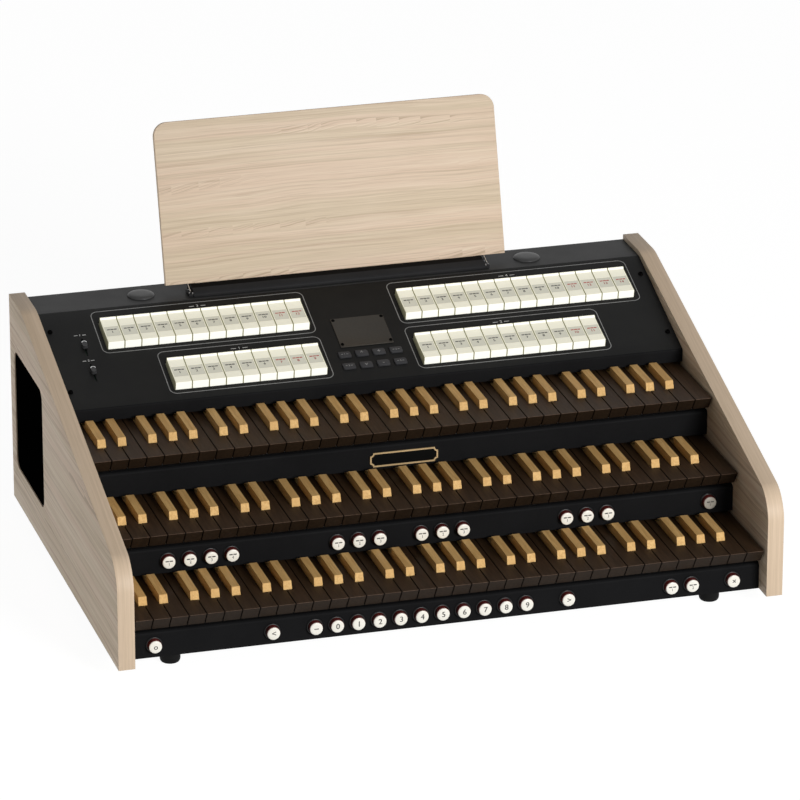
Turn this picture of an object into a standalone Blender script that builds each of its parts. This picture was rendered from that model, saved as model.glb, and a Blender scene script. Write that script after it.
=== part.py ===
"""Three manual church organ console for a table or stand, built as an assembly.

X runs to the right, Y to the back, Z up. The pieces are laid out from the
front face of the side cheeks, and one empty then moves them so that the
origin lies on the supporting surface, below the middle of the whole organ.
All sizes are metres.
"""
import math

import bmesh
import bpy
from mathutils import Matrix, Vector

MM = 0.001

# fits and clearances
GAP = 0.3 * MM
SLIDE_GAP = 0.3 * MM
TAB_ROOM = 1.2 * MM

# keyboards
KEY_PITCH = 23.5 * MM
NATURALS = 36
KEY_SPACE = 0.8 * MM
SHARP_CENTRES = (21.5 / 164.5, 49.0 / 164.5, 90.0 / 164.5, 117.5 / 164.5, 145.0 / 164.5)
SHARP_W = 11.6 * MM
SHARP_TOP_W = 10.3 * MM
SHARP_H = 11.2 * MM
SHARP_FROM = 48.2 * MM
SHARP_TO = 119.6 * MM
SHARP_LEAN = 1.6 * MM
KEY_THICK = 7.2 * MM
KEY_BACK = 205.0 * MM
KEY_BAR = 10.0 * MM
SHARP_BAR_H = 3.5 * MM
SHARP_ROOM = 0.8 * MM
KEY_PIVOT = 200.0 * MM
FRAME_ROOM = 7.0 * MM
FRAME_DEEP = 31.0 * MM
FRAME_LIP = 16.0 * MM
FRAME_T = 2.0 * MM
LIP_DROP = 18.5 * MM
LIP_BACK = 13.2 * MM
LIP_T = 5.0 * MM
MANUAL_STEP = 109.2 * MM

# levels, counted from the supporting surface
FOOT_H = 20.0 * MM
FIRST_RISE = 63.2 * MM
RISE_LOW = 67.8 * MM
RISE_HIGH = 65.7 * MM

# cabinet
SIDE_GAP = 2.5 * MM
CHEEK_T = 22.0 * MM
CHEEK_D = 619.0 * MM
CHEEK_H = 293.6 * MM
CHEEK_SLOPE = 0.2843
CHEEK_CORNER_Z = 138.7 * MM
CHEEK_R = 45.0 * MM
BEND_R = 60.0 * MM
CHEEK_EDGE = 1.0 * MM
RIB_T = 12.0 * MM
FOOT_D = 27.0 * MM
FOOT_IN = 81.5 * MM
FOOT_FRONT = 52.5 * MM
FOOT_REAR = 58.0 * MM
BADGE_X = 1.7 * MM
BADGE_W = 93.4 * MM
BADGE_H = 20.0 * MM
BADGE_STEP = 4.0 * MM
BADGE_DOWN = 3.5 * MM
INLET_X = 54.0 * MM
INLET_W = 28.0 * MM
INLET_H = 20.0 * MM
INLET_UP = 50.0 * MM
INLET_DEEP = 12.0 * MM
INLET_WALL = 3.0 * MM
SWITCH_X = 21.0 * MM
SWITCH_W = 14.0 * MM
SWITCH_ROOM = 1.2 * MM
GRILLE_SIZE = 169.0 * MM
GRILLE_R = 15.0 * MM
GRILLE_BACK = 26.0 * MM
GRILLE_UP = 54.0 * MM
GRILLE_RECESS = 1.5 * MM
BASE_T = 6.0 * MM
BACK_T = 10.0 * MM
COVER_TOP = 287.0 * MM
COVER_T = 3.0 * MM
COVER_D = 70.0 * MM
COVER_LIP = 16.0 * MM
COVER_IN = 1.0 * MM
RAIL_T = 12.0 * MM
RAIL_BACK = 24.5 * MM
RAIL_DROP = 27.0 * MM
RAIL_LIFT = 4.7 * MM
RAIL_R = 4.0 * MM
SHEET_T = 1.6 * MM

# stop panel
PANEL_FROM = 131.1 * MM
PANEL_REACH = 193.0 * MM
PANEL_LIP_TOP = 22.2 * MM
PANEL_LIP_LOW = 4.5 * MM
PANEL_T = 2.0 * MM
TAB_PITCH = 23.28 * MM
TAB_SPACE = 0.9 * MM
TAB_D = 56.0 * MM
TAB_H = 9.3 * MM
TAB_DEEP = 5.0 * MM
TAB_JOIN = 2.6 * MM
TAB_FACE_LEAN = 2.2 * MM
ROW_INNER = 66.9 * MM
UPPER_ROW = 119.0 * MM
LOWER_ROW = 23.4 * MM
CARRIER_DEEP = 14.0 * MM
DISPLAY_W = 71.0 * MM
DISPLAY_D = 59.1 * MM
DISPLAY_OUT = 0.6 * MM
DISPLAY_AT = (1.0 * MM, 103.0 * MM)
MENU_PITCH = 23.83 * MM
MENU_W = 17.2 * MM
MENU_D = 11.4 * MM
MENU_CLIP = 2.5 * MM
MENU_OUT = 2.2 * MM
MENU_MAT_T = 1.2 * MM
MENU_TRAVEL = 1.0 * MM
MENU_ROWS = (57.3 * MM, 33.3 * MM)
SLIDER_X = -376.4 * MM
SLOT_L = 34.6 * MM
SLOT_W = 2.4 * MM
SLOT_MIDS = (126.9 * MM, 73.3 * MM)
KNOB_SHIFT = 0.9 * MM
KNOB_W = 7.0 * MM
KNOB_L = 11.0 * MM
KNOB_H = 8.0 * MM

# thumb pistons
PISTON_D = 17.6 * MM
PISTON_OUT = 10.0 * MM
PISTON_FLANGE_D = 21.0 * MM
PISTON_FLANGE_T = 2.0 * MM
PISTON_BAR_H = 12.0 * MM
PISTON_PITCH = 28.4 * MM
PISTON_DOWN = 18.4 * MM
PISTON_TRAVEL = 3.0 * MM
FRONT_START = -180.6 * MM
MIDDLE_START = -348.0 * MM
FRONT_PISTONS = (
    ("piston_set", (-7.5,)), ("piston_previous", (-2,)), ("piston_minus", (0,)),
    ("pistons_numbered", (1, 2, 3, 4, 5, 6, 7, 8, 9, 10)), ("piston_next", (12,)),
    ("piston_right_a", (17,)), ("piston_right_b", (18,)), ("piston_cancel", (20,)))
MIDDLE_PISTONS = (
    ("pistons_coupler_a", (0, 1, 2, 3)), ("pistons_coupler_b", (8, 9, 10)),
    ("pistons_coupler_c", (12, 13, 14)), ("pistons_coupler_d", (19, 20, 21)),
    ("piston_voice", (26,)))

# music desk
DESK_W = 480.0 * MM
DESK_H = 220.6 * MM
DESK_T = 8.0 * MM
DESK_R = 19.0 * MM
DESK_FROM_REAR = 44.0 * MM
DESK_LIFT = 13.0 * MM
DESK_LEAN = math.radians(16.0)
TONGUE_T = 5.0 * MM
TONGUE_L = 8.0 * MM
LEDGE_W = 418.0 * MM
LEDGE_AHEAD = 21.0 * MM
LEDGE_BEHIND = 18.0 * MM
LEDGE_RISE = 3.5 * MM
CLIP_D = 23.0 * MM
CLIP_H = 9.0 * MM
CLIP_T = 5.0 * MM
CAP_X = 273.3 * MM
CAP_FROM_REAR = 37.5 * MM
CAP_D = 37.0 * MM
CAP_H = 4.0 * MM
CAP_STUB = 0.8

# values that follow
KEYS_W = KEY_PITCH * NATURALS
INNER = KEYS_W / 2 + SIDE_GAP
SPAN = INNER - GAP
OUTER = INNER + CHEEK_T
FIRST_TOP = FOOT_H + FIRST_RISE
COVER_REAR = CHEEK_D - COVER_IN
COVER_FRONT = COVER_REAR - COVER_D
LIP_Y = COVER_FRONT - PANEL_REACH
FRONTS = tuple(LIP_Y - PANEL_FROM - MANUAL_STEP * i for i in (2, 1, 0))
TOPS = (FIRST_TOP, FIRST_TOP + RISE_LOW, FIRST_TOP + RISE_LOW + RISE_HIGH)
LIP_Z = TOPS[2] + PANEL_LIP_TOP
COVER_Z = FOOT_H + COVER_TOP
PANEL_ANGLE = math.atan2(COVER_Z - LIP_Z, COVER_FRONT - LIP_Y)
PANEL_L = (COVER_FRONT - GAP - LIP_Y) / math.cos(PANEL_ANGLE)
BACK_REAR = COVER_REAR - SHEET_T - GAP
BACK_FRONT = BACK_REAR - BACK_T
TO_PLAYER = Matrix.Rotation(math.radians(90), 4, "X")
CAP_Y = COVER_REAR - CAP_FROM_REAR
DESK_FOOT_Y = COVER_REAR - DESK_FROM_REAR
DESK_FOOT_Z = COVER_Z + DESK_LIFT
LEDGE_FRONT = DESK_FOOT_Y - LEDGE_AHEAD
LEDGE_BACK = DESK_FOOT_Y + LEDGE_BEHIND
DESK_REACH = DESK_FOOT_Y + DESK_H * math.sin(DESK_LEAN) + DESK_T * math.cos(DESK_LEAN)
MIDDLE_Y = max(DESK_REACH, CHEEK_D) / 2


def frame_of(origin, u, v):
    """Placement whose first two axes are u and v."""
    u, v = Vector(u), Vector(v)
    w = u.cross(v)
    rows = [(u[i], v[i], w[i], origin[i]) for i in range(3)]
    return Matrix(rows + [(0.0, 0.0, 0.0, 1.0)])


PANEL_UP = (0.0, math.cos(PANEL_ANGLE), math.sin(PANEL_ANGLE))
PANEL_OUT = (0.0, -math.sin(PANEL_ANGLE), math.cos(PANEL_ANGLE))
DESK_UP = (0.0, math.sin(DESK_LEAN), math.cos(DESK_LEAN))
DESK_IN = (0.0, math.cos(DESK_LEAN), -math.sin(DESK_LEAN))
PANEL_FOOT = (0.0, LIP_Y, LIP_Z)
DESK_FOOT = (0.0, DESK_FOOT_Y, DESK_FOOT_Z)
SIDE = frame_of((0, 0, 0), (0, 1, 0), (0, 0, 1))
PLAN = frame_of((0, 0, 0), (1, 0, 0), (0, 1, 0))
FRONT = frame_of((0, 0, 0), (1, 0, 0), (0, 0, 1))
PANEL = frame_of(PANEL_FOOT, (1, 0, 0), PANEL_UP)
PANEL_SIDE = frame_of(PANEL_FOOT, PANEL_UP, PANEL_OUT)
DESK = frame_of(DESK_FOOT, (1, 0, 0), DESK_UP)
DESK_SIDE = frame_of(DESK_FOOT, DESK_IN, DESK_UP)


def clear_scene():
    for old in list(bpy.data.objects):
        bpy.data.objects.remove(old, do_unlink=True)


def group(name):
    """Collection of that name, made when it is first asked for."""
    found = bpy.data.collections.get(name)
    if found is None:
        found = bpy.data.collections.new(name)
        bpy.context.scene.collection.children.link(found)
    return found


def make_material(name, colour, rough, metal=0.0):
    mat = bpy.data.materials.new(name)
    mat.use_nodes = True
    shader = mat.node_tree.nodes["Principled BSDF"]
    shader.inputs["Base Color"].default_value = (*colour, 1.0)
    shader.inputs["Roughness"].default_value = rough
    shader.inputs["Metallic"].default_value = metal
    return mat


def organ_origin():
    """Empty that carries every piece, half the depth in front of the origin."""
    found = bpy.data.objects.get("organ_origin")
    if found is None:
        found = bpy.data.objects.new("organ_origin", None)
        found.location = (0.0, -MIDDLE_Y, 0.0)
        group("church_organ").objects.link(found)
    return found


def finish(name, mesh, mat, at=(0.0, 0.0, 0.0)):
    """Named object made of the mesh, with its origin at a point."""
    mesh.name = name
    mesh.transform(Matrix.Translation(-Vector(at)))
    mesh.materials.clear()
    mesh.materials.append(mat)
    obj = bpy.data.objects.new(name, mesh)
    obj.parent = organ_origin()
    obj.location = at
    group("church_organ").objects.link(obj)
    return obj


def as_cutter(name, mesh):
    cutter = bpy.data.objects.new(name, mesh)
    cutter.parent = organ_origin()
    group("cutters").objects.link(cutter)
    cutter.hide_render = True
    cutter.display_type = "WIRE"
    return cutter


def combine(obj, mesh, operation):
    """Cut the mesh from the object, or join it to the object."""
    mod = obj.modifiers.new(operation.lower(), "BOOLEAN")
    mod.operation = operation
    mod.solver = "EXACT"
    mod.object = as_cutter(obj.name + "_" + operation.lower(), mesh)


def soften(obj, width, segments=1):
    mod = obj.modifiers.new("edges", "BEVEL")
    mod.width = width
    mod.segments = segments
    mod.limit_method = "ANGLE"
    mod.angle_limit = math.radians(50)


def evaluated_mesh(helper):
    """Mesh of a helper object with its loose caps joined; the helper goes."""
    group("church_organ").objects.link(helper)
    depsgraph = bpy.context.evaluated_depsgraph_get()
    mesh = bpy.data.meshes.new_from_object(helper.evaluated_get(depsgraph))
    bpy.data.objects.remove(helper, do_unlink=True)
    bm = bmesh.new()
    bm.from_mesh(mesh)
    bmesh.ops.remove_doubles(bm, verts=bm.verts, dist=1e-6)
    bmesh.ops.dissolve_limit(bm, angle_limit=math.radians(0.5), verts=bm.verts, edges=bm.edges)
    bmesh.ops.recalc_face_normals(bm, faces=bm.faces)
    bm.to_mesh(mesh)
    bm.free()
    return mesh


def slab(outlines, frame, low, high):
    """Mesh of an outline with its holes, extruded along the frame's third axis."""
    curve = bpy.data.curves.new("outline", "CURVE")
    curve.dimensions = "2D"
    curve.fill_mode = "BOTH"
    curve.extrude = (high - low) / 2
    for outline in outlines:
        spline = curve.splines.new("POLY")
        spline.points.add(len(outline) - 1)
        for point, (u, v) in zip(spline.points, outline):
            point.co = (u, v, 0.0, 1.0)
        spline.use_cyclic_u = True
    mesh = evaluated_mesh(bpy.data.objects.new("outline", curve))
    mesh.transform(frame @ Matrix.Translation((0, 0, (low + high) / 2)))
    return mesh


def block(frame, u0, u1, v0, v1, w0, w1):
    """Mesh of a box between two corners given in a frame."""
    size = Matrix.Diagonal((u1 - u0, v1 - v0, w1 - w0, 1.0))
    middle = Matrix.Translation(((u0 + u1) / 2, (v0 + v1) / 2, (w0 + w1) / 2))
    mesh = bpy.data.meshes.new("block")
    bm = bmesh.new()
    bmesh.ops.create_cube(bm, size=1.0, matrix=frame @ middle @ size)
    bm.to_mesh(mesh)
    bm.free()
    return mesh


def turned(profile, steps, frame):
    """Mesh of a profile of radius and height, top first, turned about the frame's axis."""
    mesh = bpy.data.meshes.new("profile")
    edges = [(i, i + 1) for i in range(len(profile) - 1)]
    mesh.from_pydata([(r, 0.0, z) for r, z in profile], edges, [])
    helper = bpy.data.objects.new("profile", mesh)
    mod = helper.modifiers.new("turn", "SCREW")
    mod.steps = steps
    mod.render_steps = steps
    mod.use_merge_vertices = True
    mod.merge_threshold = 0.00001
    out = evaluated_mesh(helper)
    out.transform(frame)
    out.shade_smooth()
    out.set_sharp_from_angle(angle=math.radians(35))
    return out


def together(meshes):
    """One mesh that holds several bodies."""
    bm = bmesh.new()
    for mesh in meshes:
        bm.from_mesh(mesh)
    out = bpy.data.meshes.new("together")
    bm.to_mesh(out)
    bm.free()
    return out


def arc(centre, radius, start, end, steps):
    """Points of an arc, angles in degrees."""
    angles = [math.radians(start + (end - start) * i / steps) for i in range(steps + 1)]
    return [(centre[0] + radius * math.cos(a), centre[1] + radius * math.sin(a))
            for a in angles]


def rectangle(u0, u1, v0, v1):
    return [(u0, v0), (u1, v0), (u1, v1), (u0, v1)]


def rounded(u0, u1, v0, v1, r, steps):
    """Rectangle outline with four rounded corners."""
    out = arc((u1 - r, v0 + r), r, -90, 0, steps)
    out += arc((u1 - r, v1 - r), r, 0, 90, steps)
    out += arc((u0 + r, v1 - r), r, 90, 180, steps)
    return out + arc((u0 + r, v0 + r), r, 180, 270, steps)


def fillet(before, corner, after, radius, steps):
    """Points that round one corner of an outline."""
    c = Vector(corner)
    a = (Vector(before) - c).normalized()
    b = (Vector(after) - c).normalized()
    half = a.angle(b) / 2
    centre = c + (a + b).normalized() * (radius / math.sin(half))
    first = c + a * (radius / math.tan(half)) - centre
    last = c + b * (radius / math.tan(half)) - centre
    start = math.atan2(first.y, first.x)
    turn = (math.atan2(last.y, last.x) - start + math.pi) % (2 * math.pi) - math.pi
    angles = [start + turn * i / steps for i in range(steps + 1)]
    return [(centre.x + radius * math.cos(t), centre.y + radius * math.sin(t)) for t in angles]


def on_panel(t, h):
    """World point in the middle plane, t up the stop panel and h above it."""
    return tuple(PANEL @ Vector((0.0, t, h)))


def cheek_outline():
    z0 = FOOT_H
    corner = (0.0, z0 + CHEEK_CORNER_Z)
    top = z0 + CHEEK_H
    bend = ((top - corner[1]) / CHEEK_SLOPE, top)
    rear = (CHEEK_D, top)
    out = [(0.0, z0)]
    out += fillet((0.0, z0), corner, bend, CHEEK_R, 7)
    out += fillet(corner, bend, rear, BEND_R, 3)
    return out + [rear, (CHEEK_D, z0)]


def grille_outline(shrink):
    y1 = CHEEK_D - GRILLE_BACK - shrink
    y0 = CHEEK_D - GRILLE_BACK - GRILLE_SIZE + shrink
    z0 = FOOT_H + GRILLE_UP + shrink
    z1 = FOOT_H + GRILLE_UP + GRILLE_SIZE - shrink
    return rounded(y0, y1, z0, z1, GRILLE_R - shrink, 4)


def build_cheek(name, side, mats):
    """Side board with the grille that fills its opening."""
    x0, x1 = sorted((side * INNER, side * OUTER))
    cheek = finish(name + "_cheek", slab([cheek_outline(), grille_outline(0.0)], SIDE, x0, x1),
                   mats["wood"])
    soften(cheek, CHEEK_EDGE)
    x0, x1 = sorted((side * (INNER + GAP), side * (OUTER - GRILLE_RECESS)))
    finish(name + "_grille", slab([grille_outline(GAP)], SIDE, x0, x1), mats["cloth"])


def build_base(mat):
    front = FRONTS[0] + RAIL_BACK + RAIL_T + GAP
    mesh = block(PLAN, -SPAN, SPAN, front, BACK_FRONT - GAP, FOOT_H, FOOT_H + BASE_T)
    finish("base_panel", mesh, mat)


def build_back(mats):
    """Back panel with the power inlet and the power switch."""
    z = FOOT_H + INLET_UP
    inlet = rectangle(INLET_X - INLET_W / 2 - GAP, INLET_X + INLET_W / 2 + GAP,
                      z - INLET_H / 2 - GAP, z + INLET_H / 2 + GAP)
    switch = rectangle(SWITCH_X - SWITCH_W / 2 - GAP, SWITCH_X + SWITCH_W / 2 + GAP,
                       z - INLET_H / 2 - GAP, z + INLET_H / 2 + GAP)
    edge = rectangle(-SPAN, SPAN, FOOT_H, COVER_Z - COVER_T - GAP)
    finish("back_panel", slab([edge, inlet, switch], FRONT, -BACK_REAR, -BACK_FRONT),
           mats["black"])
    w, h = INLET_W / 2, INLET_H / 2
    inlet = finish("power_inlet", block(FRONT, INLET_X - w, INLET_X + w, z - h, z + h,
                                        -BACK_REAR, -BACK_FRONT + INLET_DEEP), mats["plastic"])
    combine(inlet, block(FRONT, INLET_X - w + INLET_WALL, INLET_X + w - INLET_WALL,
                         z - h + INLET_WALL, z + h - INLET_WALL, -BACK_REAR - MM,
                         -BACK_FRONT), "DIFFERENCE")
    build_switch(z, mats["plastic"])


def build_switch(z, mat):
    """Rocker of the power switch, resting on one side."""
    h = INLET_H / 2 - SWITCH_ROOM
    y = BACK_REAR
    out = [(y - 9 * MM, z - 3 * MM), (y - 1.2 * MM, z - h), (y + 0.3 * MM, z - h),
           (y + 0.9 * MM, z), (y + 2.7 * MM, z + h), (y + 1.2 * MM, z + h),
           (y - 9 * MM, z + 3 * MM)]
    mesh = slab([out], SIDE, SWITCH_X - SWITCH_W / 2, SWITCH_X + SWITCH_W / 2)
    finish("power_switch", mesh, mat, (SWITCH_X, y - 4 * MM, z))


def build_cover(mats):
    """Folded sheet cover with the two round caps that plug its holes."""
    low, skin = COVER_Z - COVER_T, COVER_REAR - SHEET_T
    drop = low - COVER_LIP
    out = [(COVER_FRONT, drop), (COVER_FRONT + SHEET_T, drop), (COVER_FRONT + SHEET_T, low),
           (skin, low), (skin, drop), (COVER_REAR, drop), (COVER_REAR, COVER_Z),
           (COVER_FRONT, COVER_Z)]
    cover = finish("top_cover", slab([out], SIDE, -SPAN, SPAN), mats["cover"])
    stub = CAP_D * CAP_STUB
    r = CAP_D / 2
    profile = [(0.0, CAP_H), (r * 0.55, CAP_H), (r * 0.85, CAP_H * 0.8), (r, CAP_H * 0.4), (r, GAP),
               (stub / 2, GAP), (stub / 2, -COVER_T - 3 * MM), (0.0, -COVER_T - 3 * MM)]
    hole = [(0.0, 5 * MM), (stub / 2 + GAP, 5 * MM), (stub / 2 + GAP, -COVER_T - 5 * MM),
            (0.0, -COVER_T - 5 * MM)]
    places = [Matrix.Translation((x, CAP_Y, COVER_Z)) for x in (-CAP_X, CAP_X)]
    for name, place in zip(("left_cap", "right_cap"), places):
        finish(name, turned(profile, 16, place), mats["cover"])
    combine(cover, together([turned(hole, 16, place) for place in places]), "DIFFERENCE")


def rail_levels(index):
    top = TOPS[index] - RAIL_DROP
    low = FOOT_H if index == 0 else TOPS[index - 1] + RAIL_LIFT
    return low, top


def rail_outline(index):
    low, top = rail_levels(index)
    y0 = FRONTS[index] + RAIL_BACK
    y1 = y0 + RAIL_T
    out = [(y0, low)]
    out += fillet((y0, low), (y0, top), (y1, top), RAIL_R, 3)
    out += fillet((y0, top), (y1, top), (y1, low), RAIL_R / 2, 2)
    return out + [(y1, low)]


def piston_places(index, start, steps):
    """Placements on the rail face, the third axis pointing to the player."""
    y = FRONTS[index] + RAIL_BACK
    z = rail_levels(index)[1] - PISTON_DOWN
    return [Matrix.Translation((start + PISTON_PITCH * k, y, z)) @ TO_PLAYER for k in steps]


def build_rail(name, index, start, groups, mat):
    rail = finish(name, slab([rail_outline(index)], SIDE, -SPAN, SPAN), mat)
    steps = [k for _, ks in groups for k in ks]
    if not steps:
        return
    r = PISTON_D / 2 + SLIDE_GAP
    hole = [(0.0, 5 * MM), (r, 5 * MM), (r, -RAIL_T - 5 * MM), (0.0, -RAIL_T - 5 * MM)]
    places = piston_places(index, start, steps)
    combine(rail, together([turned(hole, 12, place) for place in places]), "DIFFERENCE")


def piston_profile(flange):
    r, back = PISTON_D / 2, -RAIL_T - GAP
    out = [(0.0, PISTON_OUT), (r, PISTON_OUT), (r, back)]
    if flange:
        out += [(PISTON_FLANGE_D / 2, back), (PISTON_FLANGE_D / 2, back - PISTON_FLANGE_T)]
        return out + [(0.0, back - PISTON_FLANGE_T)]
    last = back - PISTON_FLANGE_T / 2
    return out[:2] + [(r, last), (0.0, last)]


def build_pistons(index, start, groups, mat):
    """Single pistons have a stop flange; those in a row share one stop bar."""
    for name, steps in groups:
        places = piston_places(index, start, steps)
        middle = (places[0].translation + places[-1].translation) / 2
        if len(steps) == 1:
            finish(name, turned(piston_profile(True), 12, places[0]), mat, middle)
            continue
        half = (places[-1].translation - places[0].translation).x / 2 + PISTON_FLANGE_D / 2
        y = middle.y + RAIL_T + GAP
        bar = block(PLAN, middle.x - half, middle.x + half, y, y + PISTON_FLANGE_T,
                    middle.z - PISTON_BAR_H / 2, middle.z + PISTON_BAR_H / 2)
        row = finish(name, bar, mat, middle)
        heads = [turned(piston_profile(False), 12, place) for place in places]
        combine(row, together(heads), "UNION")


def sharp_middles():
    """Middle of each sharp, counted from the left end of the keyboard."""
    octave = 7 * KEY_PITCH
    return [octave * (n + c) for n in range((NATURALS - 1) // 7) for c in SHARP_CENTRES]


def key_pivot(index):
    return (0.0, FRONTS[index] + KEY_PIVOT, TOPS[index] - KEY_THICK / 2)


def key_gap(line, front):
    """Cut between two naturals, widened where a sharp stands over it."""
    s = KEY_SPACE / 2
    back = front + KEY_BACK - KEY_BAR
    near = [c for c in sharp_middles() if abs(c - line) < SHARP_W / 2]
    if not near:
        return [rectangle(line - s, line + s, front - 5 * MM, back)]
    half = SHARP_W / 2 + KEY_SPACE
    y = front + SHARP_FROM - KEY_SPACE
    return [[(line - s, front - 5 * MM), (line + s, front - 5 * MM), (line + s, y),
             (near[0] + half, y), (near[0] + half, back), (near[0] - half, back),
             (near[0] - half, y), (line - s, y)]]


def build_naturals(name, index, mat):
    """White keys of one manual, joined at the pivot bar behind them."""
    front, top = FRONTS[index], TOPS[index]
    low, lip = top - KEY_THICK, top - LIP_DROP
    back = front + LIP_BACK
    out = [(front, top), (back, lip), (back + LIP_T, lip),
           (back + LIP_T, low), (front + KEY_BACK, low), (front + KEY_BACK, top)]
    half = KEYS_W / 2
    keys = finish(name, slab([out], SIDE, -half, half), mat, key_pivot(index))
    left = Matrix.Translation((-half, 0.0, 0.0))
    gaps = [slab(key_gap(i * KEY_PITCH, front), left @ PLAN, lip - 5 * MM, top + 5 * MM)
            for i in range(1, NATURALS)]
    combine(keys, together(gaps), "DIFFERENCE")


def build_sharps(name, index, mat):
    """Sharps of one manual, joined at a bar above the ends of the naturals."""
    front, top = FRONTS[index], TOPS[index]
    low, high, bar = top - KEY_THICK, top + SHARP_H, top + SHARP_BAR_H
    y0, y1, y2 = front + SHARP_FROM, front + SHARP_TO, front + KEY_BACK - MM
    step = front + KEY_BACK - KEY_BAR - 2 * MM
    out = [(y0, low), (step, low), (step, top + SHARP_ROOM), (y2, top + SHARP_ROOM), (y2, bar),
           (y1, bar), (y1, high), (y0 + SHARP_LEAN, high)]
    half = KEYS_W / 2
    keys = finish(name, slab([out], SIDE, -half, half), mat, key_pivot(index))
    middles = [c - half for c in sharp_middles()]
    edges = [-half - KEY_PITCH] + middles + [half + KEY_PITCH]
    w, thin = SHARP_W / 2, (SHARP_W - SHARP_TOP_W) / 2
    gaps = []
    for a, b in zip(edges, edges[1:]):
        u0, u1 = a + w, b - w
        section = [(u0, low - 5 * MM), (u1, low - 5 * MM), (u1, top), (u1 + thin, high),
                   (u1 + thin, high + 5 * MM), (u0 - thin, high + 5 * MM), (u0 - thin, high),
                   (u0, top)]
        gaps.append(slab([section], FRONT, -step - MM, -y0 + 5 * MM))
    combine(keys, together(gaps), "DIFFERENCE")


def build_key_frame(name, index, mat):
    """Sheet metal key frame with a front lip and the rear pivot rail."""
    y, top = FRONTS[index], TOPS[index]
    y0, y1 = y + RAIL_BACK + RAIL_T + FRAME_ROOM, y + KEY_PIVOT + 6 * MM
    low, plate = top - FRAME_DEEP, top - FRAME_DEEP + FRAME_T
    rest, rail = top - KEY_THICK - GAP, y + KEY_PIVOT - 2.5 * MM
    out = [(y0, low), (y1, low), (y1, rest), (rail, rest), (rail, plate),
           (y0 + FRAME_T, plate), (y0 + FRAME_T, top - FRAME_LIP), (y0, top - FRAME_LIP)]
    finish(name, slab([out], SIDE, -SPAN, SPAN), mat)


def build_rib(mat):
    """Stepped upright that carries the middle of the three key frames."""
    z = FOOT_H + BASE_T + GAP
    under = [t - FRAME_DEEP - GAP for t in TOPS]
    y0 = FRONTS[0] + RAIL_BACK + RAIL_T + FRAME_ROOM
    step = [f + KEY_PIVOT + 8 * MM for f in FRONTS]
    out = [(y0, z), (step[2], z), (step[2], under[2]), (step[1], under[2]),
           (step[1], under[1]), (step[0], under[1]), (step[0], under[0]), (y0, under[0])]
    finish("centre_rib", slab([out], SIDE, -RIB_T / 2, RIB_T / 2), mat)


def rows():
    """Name, left edge, number of tabs and distance up the panel of each row."""
    left = -ROW_INNER
    return (("upper_left", left - 12 * TAB_PITCH, 12, UPPER_ROW),
            ("lower_left", left - 9 * TAB_PITCH, 9, LOWER_ROW),
            ("upper_right", ROW_INNER, 14, UPPER_ROW),
            ("lower_right", ROW_INNER, 11, LOWER_ROW))


def clipped(u, v, w, d):
    """Outline of a button with clipped corners around its middle."""
    c = MENU_CLIP
    return [(u - w + c, v - d), (u + w - c, v - d), (u + w, v - d + c), (u + w, v + d - c),
            (u + w - c, v + d), (u - w + c, v + d), (u - w, v + d - c), (u - w, v - d + c)]


def menu_places():
    u0 = DISPLAY_AT[0] - 1.5 * MENU_PITCH
    return [(u0 + i * MENU_PITCH, t) for t in MENU_ROWS for i in range(4)]


def panel_holes():
    """Everything that is cut out of the stop panel."""
    deep, high = -PANEL_T - 2 * MM, 2 * MM
    r = TAB_ROOM
    holes = [block(PANEL, u - r, u + n * TAB_PITCH + r, t - r, t + TAB_D + r, deep, high)
             for _, u, n, t in rows()]
    u, t = DISPLAY_AT
    w, d = DISPLAY_W / 2 + GAP, DISPLAY_D / 2 + GAP
    holes.append(block(PANEL, u - w, u + w, t - d, t + d, deep, high))
    for u, t in menu_places():
        hole = clipped(u, t, MENU_W / 2 + SLIDE_GAP, MENU_D / 2 + SLIDE_GAP)
        holes.append(slab([hole], PANEL, deep, high))
    w, d = SLOT_W / 2, SLOT_L / 2
    for t in SLOT_MIDS:
        holes.append(block(PANEL, SLIDER_X - w, SLIDER_X + w, t - d, t + d, deep, high))
    return together(holes)


def build_panel(mat):
    """Folded sheet with a front lip and a rear flange against the cover."""
    tilt = math.tan(PANEL_ANGLE)
    skin = PANEL_T / math.cos(PANEL_ANGLE)
    low, drop = TOPS[2] + PANEL_LIP_LOW, COVER_Z - COVER_T - COVER_LIP
    y1 = COVER_FRONT - GAP
    z1 = LIP_Z + (y1 - LIP_Y) * tilt
    y0, y2 = LIP_Y + PANEL_T, y1 - SHEET_T
    out = [(LIP_Y, low), (y0, low), (y0, LIP_Z - skin + (y0 - LIP_Y) * tilt),
           (y2, LIP_Z - skin + (y2 - LIP_Y) * tilt), (y2, drop), (y1, drop), (y1, z1),
           (LIP_Y, LIP_Z)]
    panel = finish("stop_panel", slab([out], SIDE, -SPAN, SPAN), mat)
    combine(panel, panel_holes(), "DIFFERENCE")


def build_tabs(name, u, count, t0, mat):
    """Row of rocker tabs, joined below the panel where they rock."""
    shape = [(0.0, -TAB_DEEP), (TAB_D, -TAB_DEEP), (TAB_D, TAB_H * 0.88),
             (TAB_D * 0.965, TAB_H * 0.95), (TAB_D * 0.9, TAB_H * 0.76),
             (TAB_D * 0.5, TAB_H * 0.82), (TAB_FACE_LEAN, TAB_H)]
    s = TAB_SPACE / 2
    u1 = u + count * TAB_PITCH
    out = [(t0 + t, h) for t, h in shape]
    pivot = tuple(PANEL @ Vector(((u + u1) / 2, t0 + TAB_D / 2, -TAB_DEEP)))
    tabs = finish("tabs_" + name, slab([out], PANEL_SIDE, u + s, u1 - s), mat, pivot)
    cuts = [block(PANEL, u + i * TAB_PITCH - s, u + i * TAB_PITCH + s, t0 - MM,
                  t0 + TAB_D + MM, -TAB_JOIN, TAB_H + MM) for i in range(1, count)]
    combine(tabs, together(cuts), "DIFFERENCE")


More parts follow.
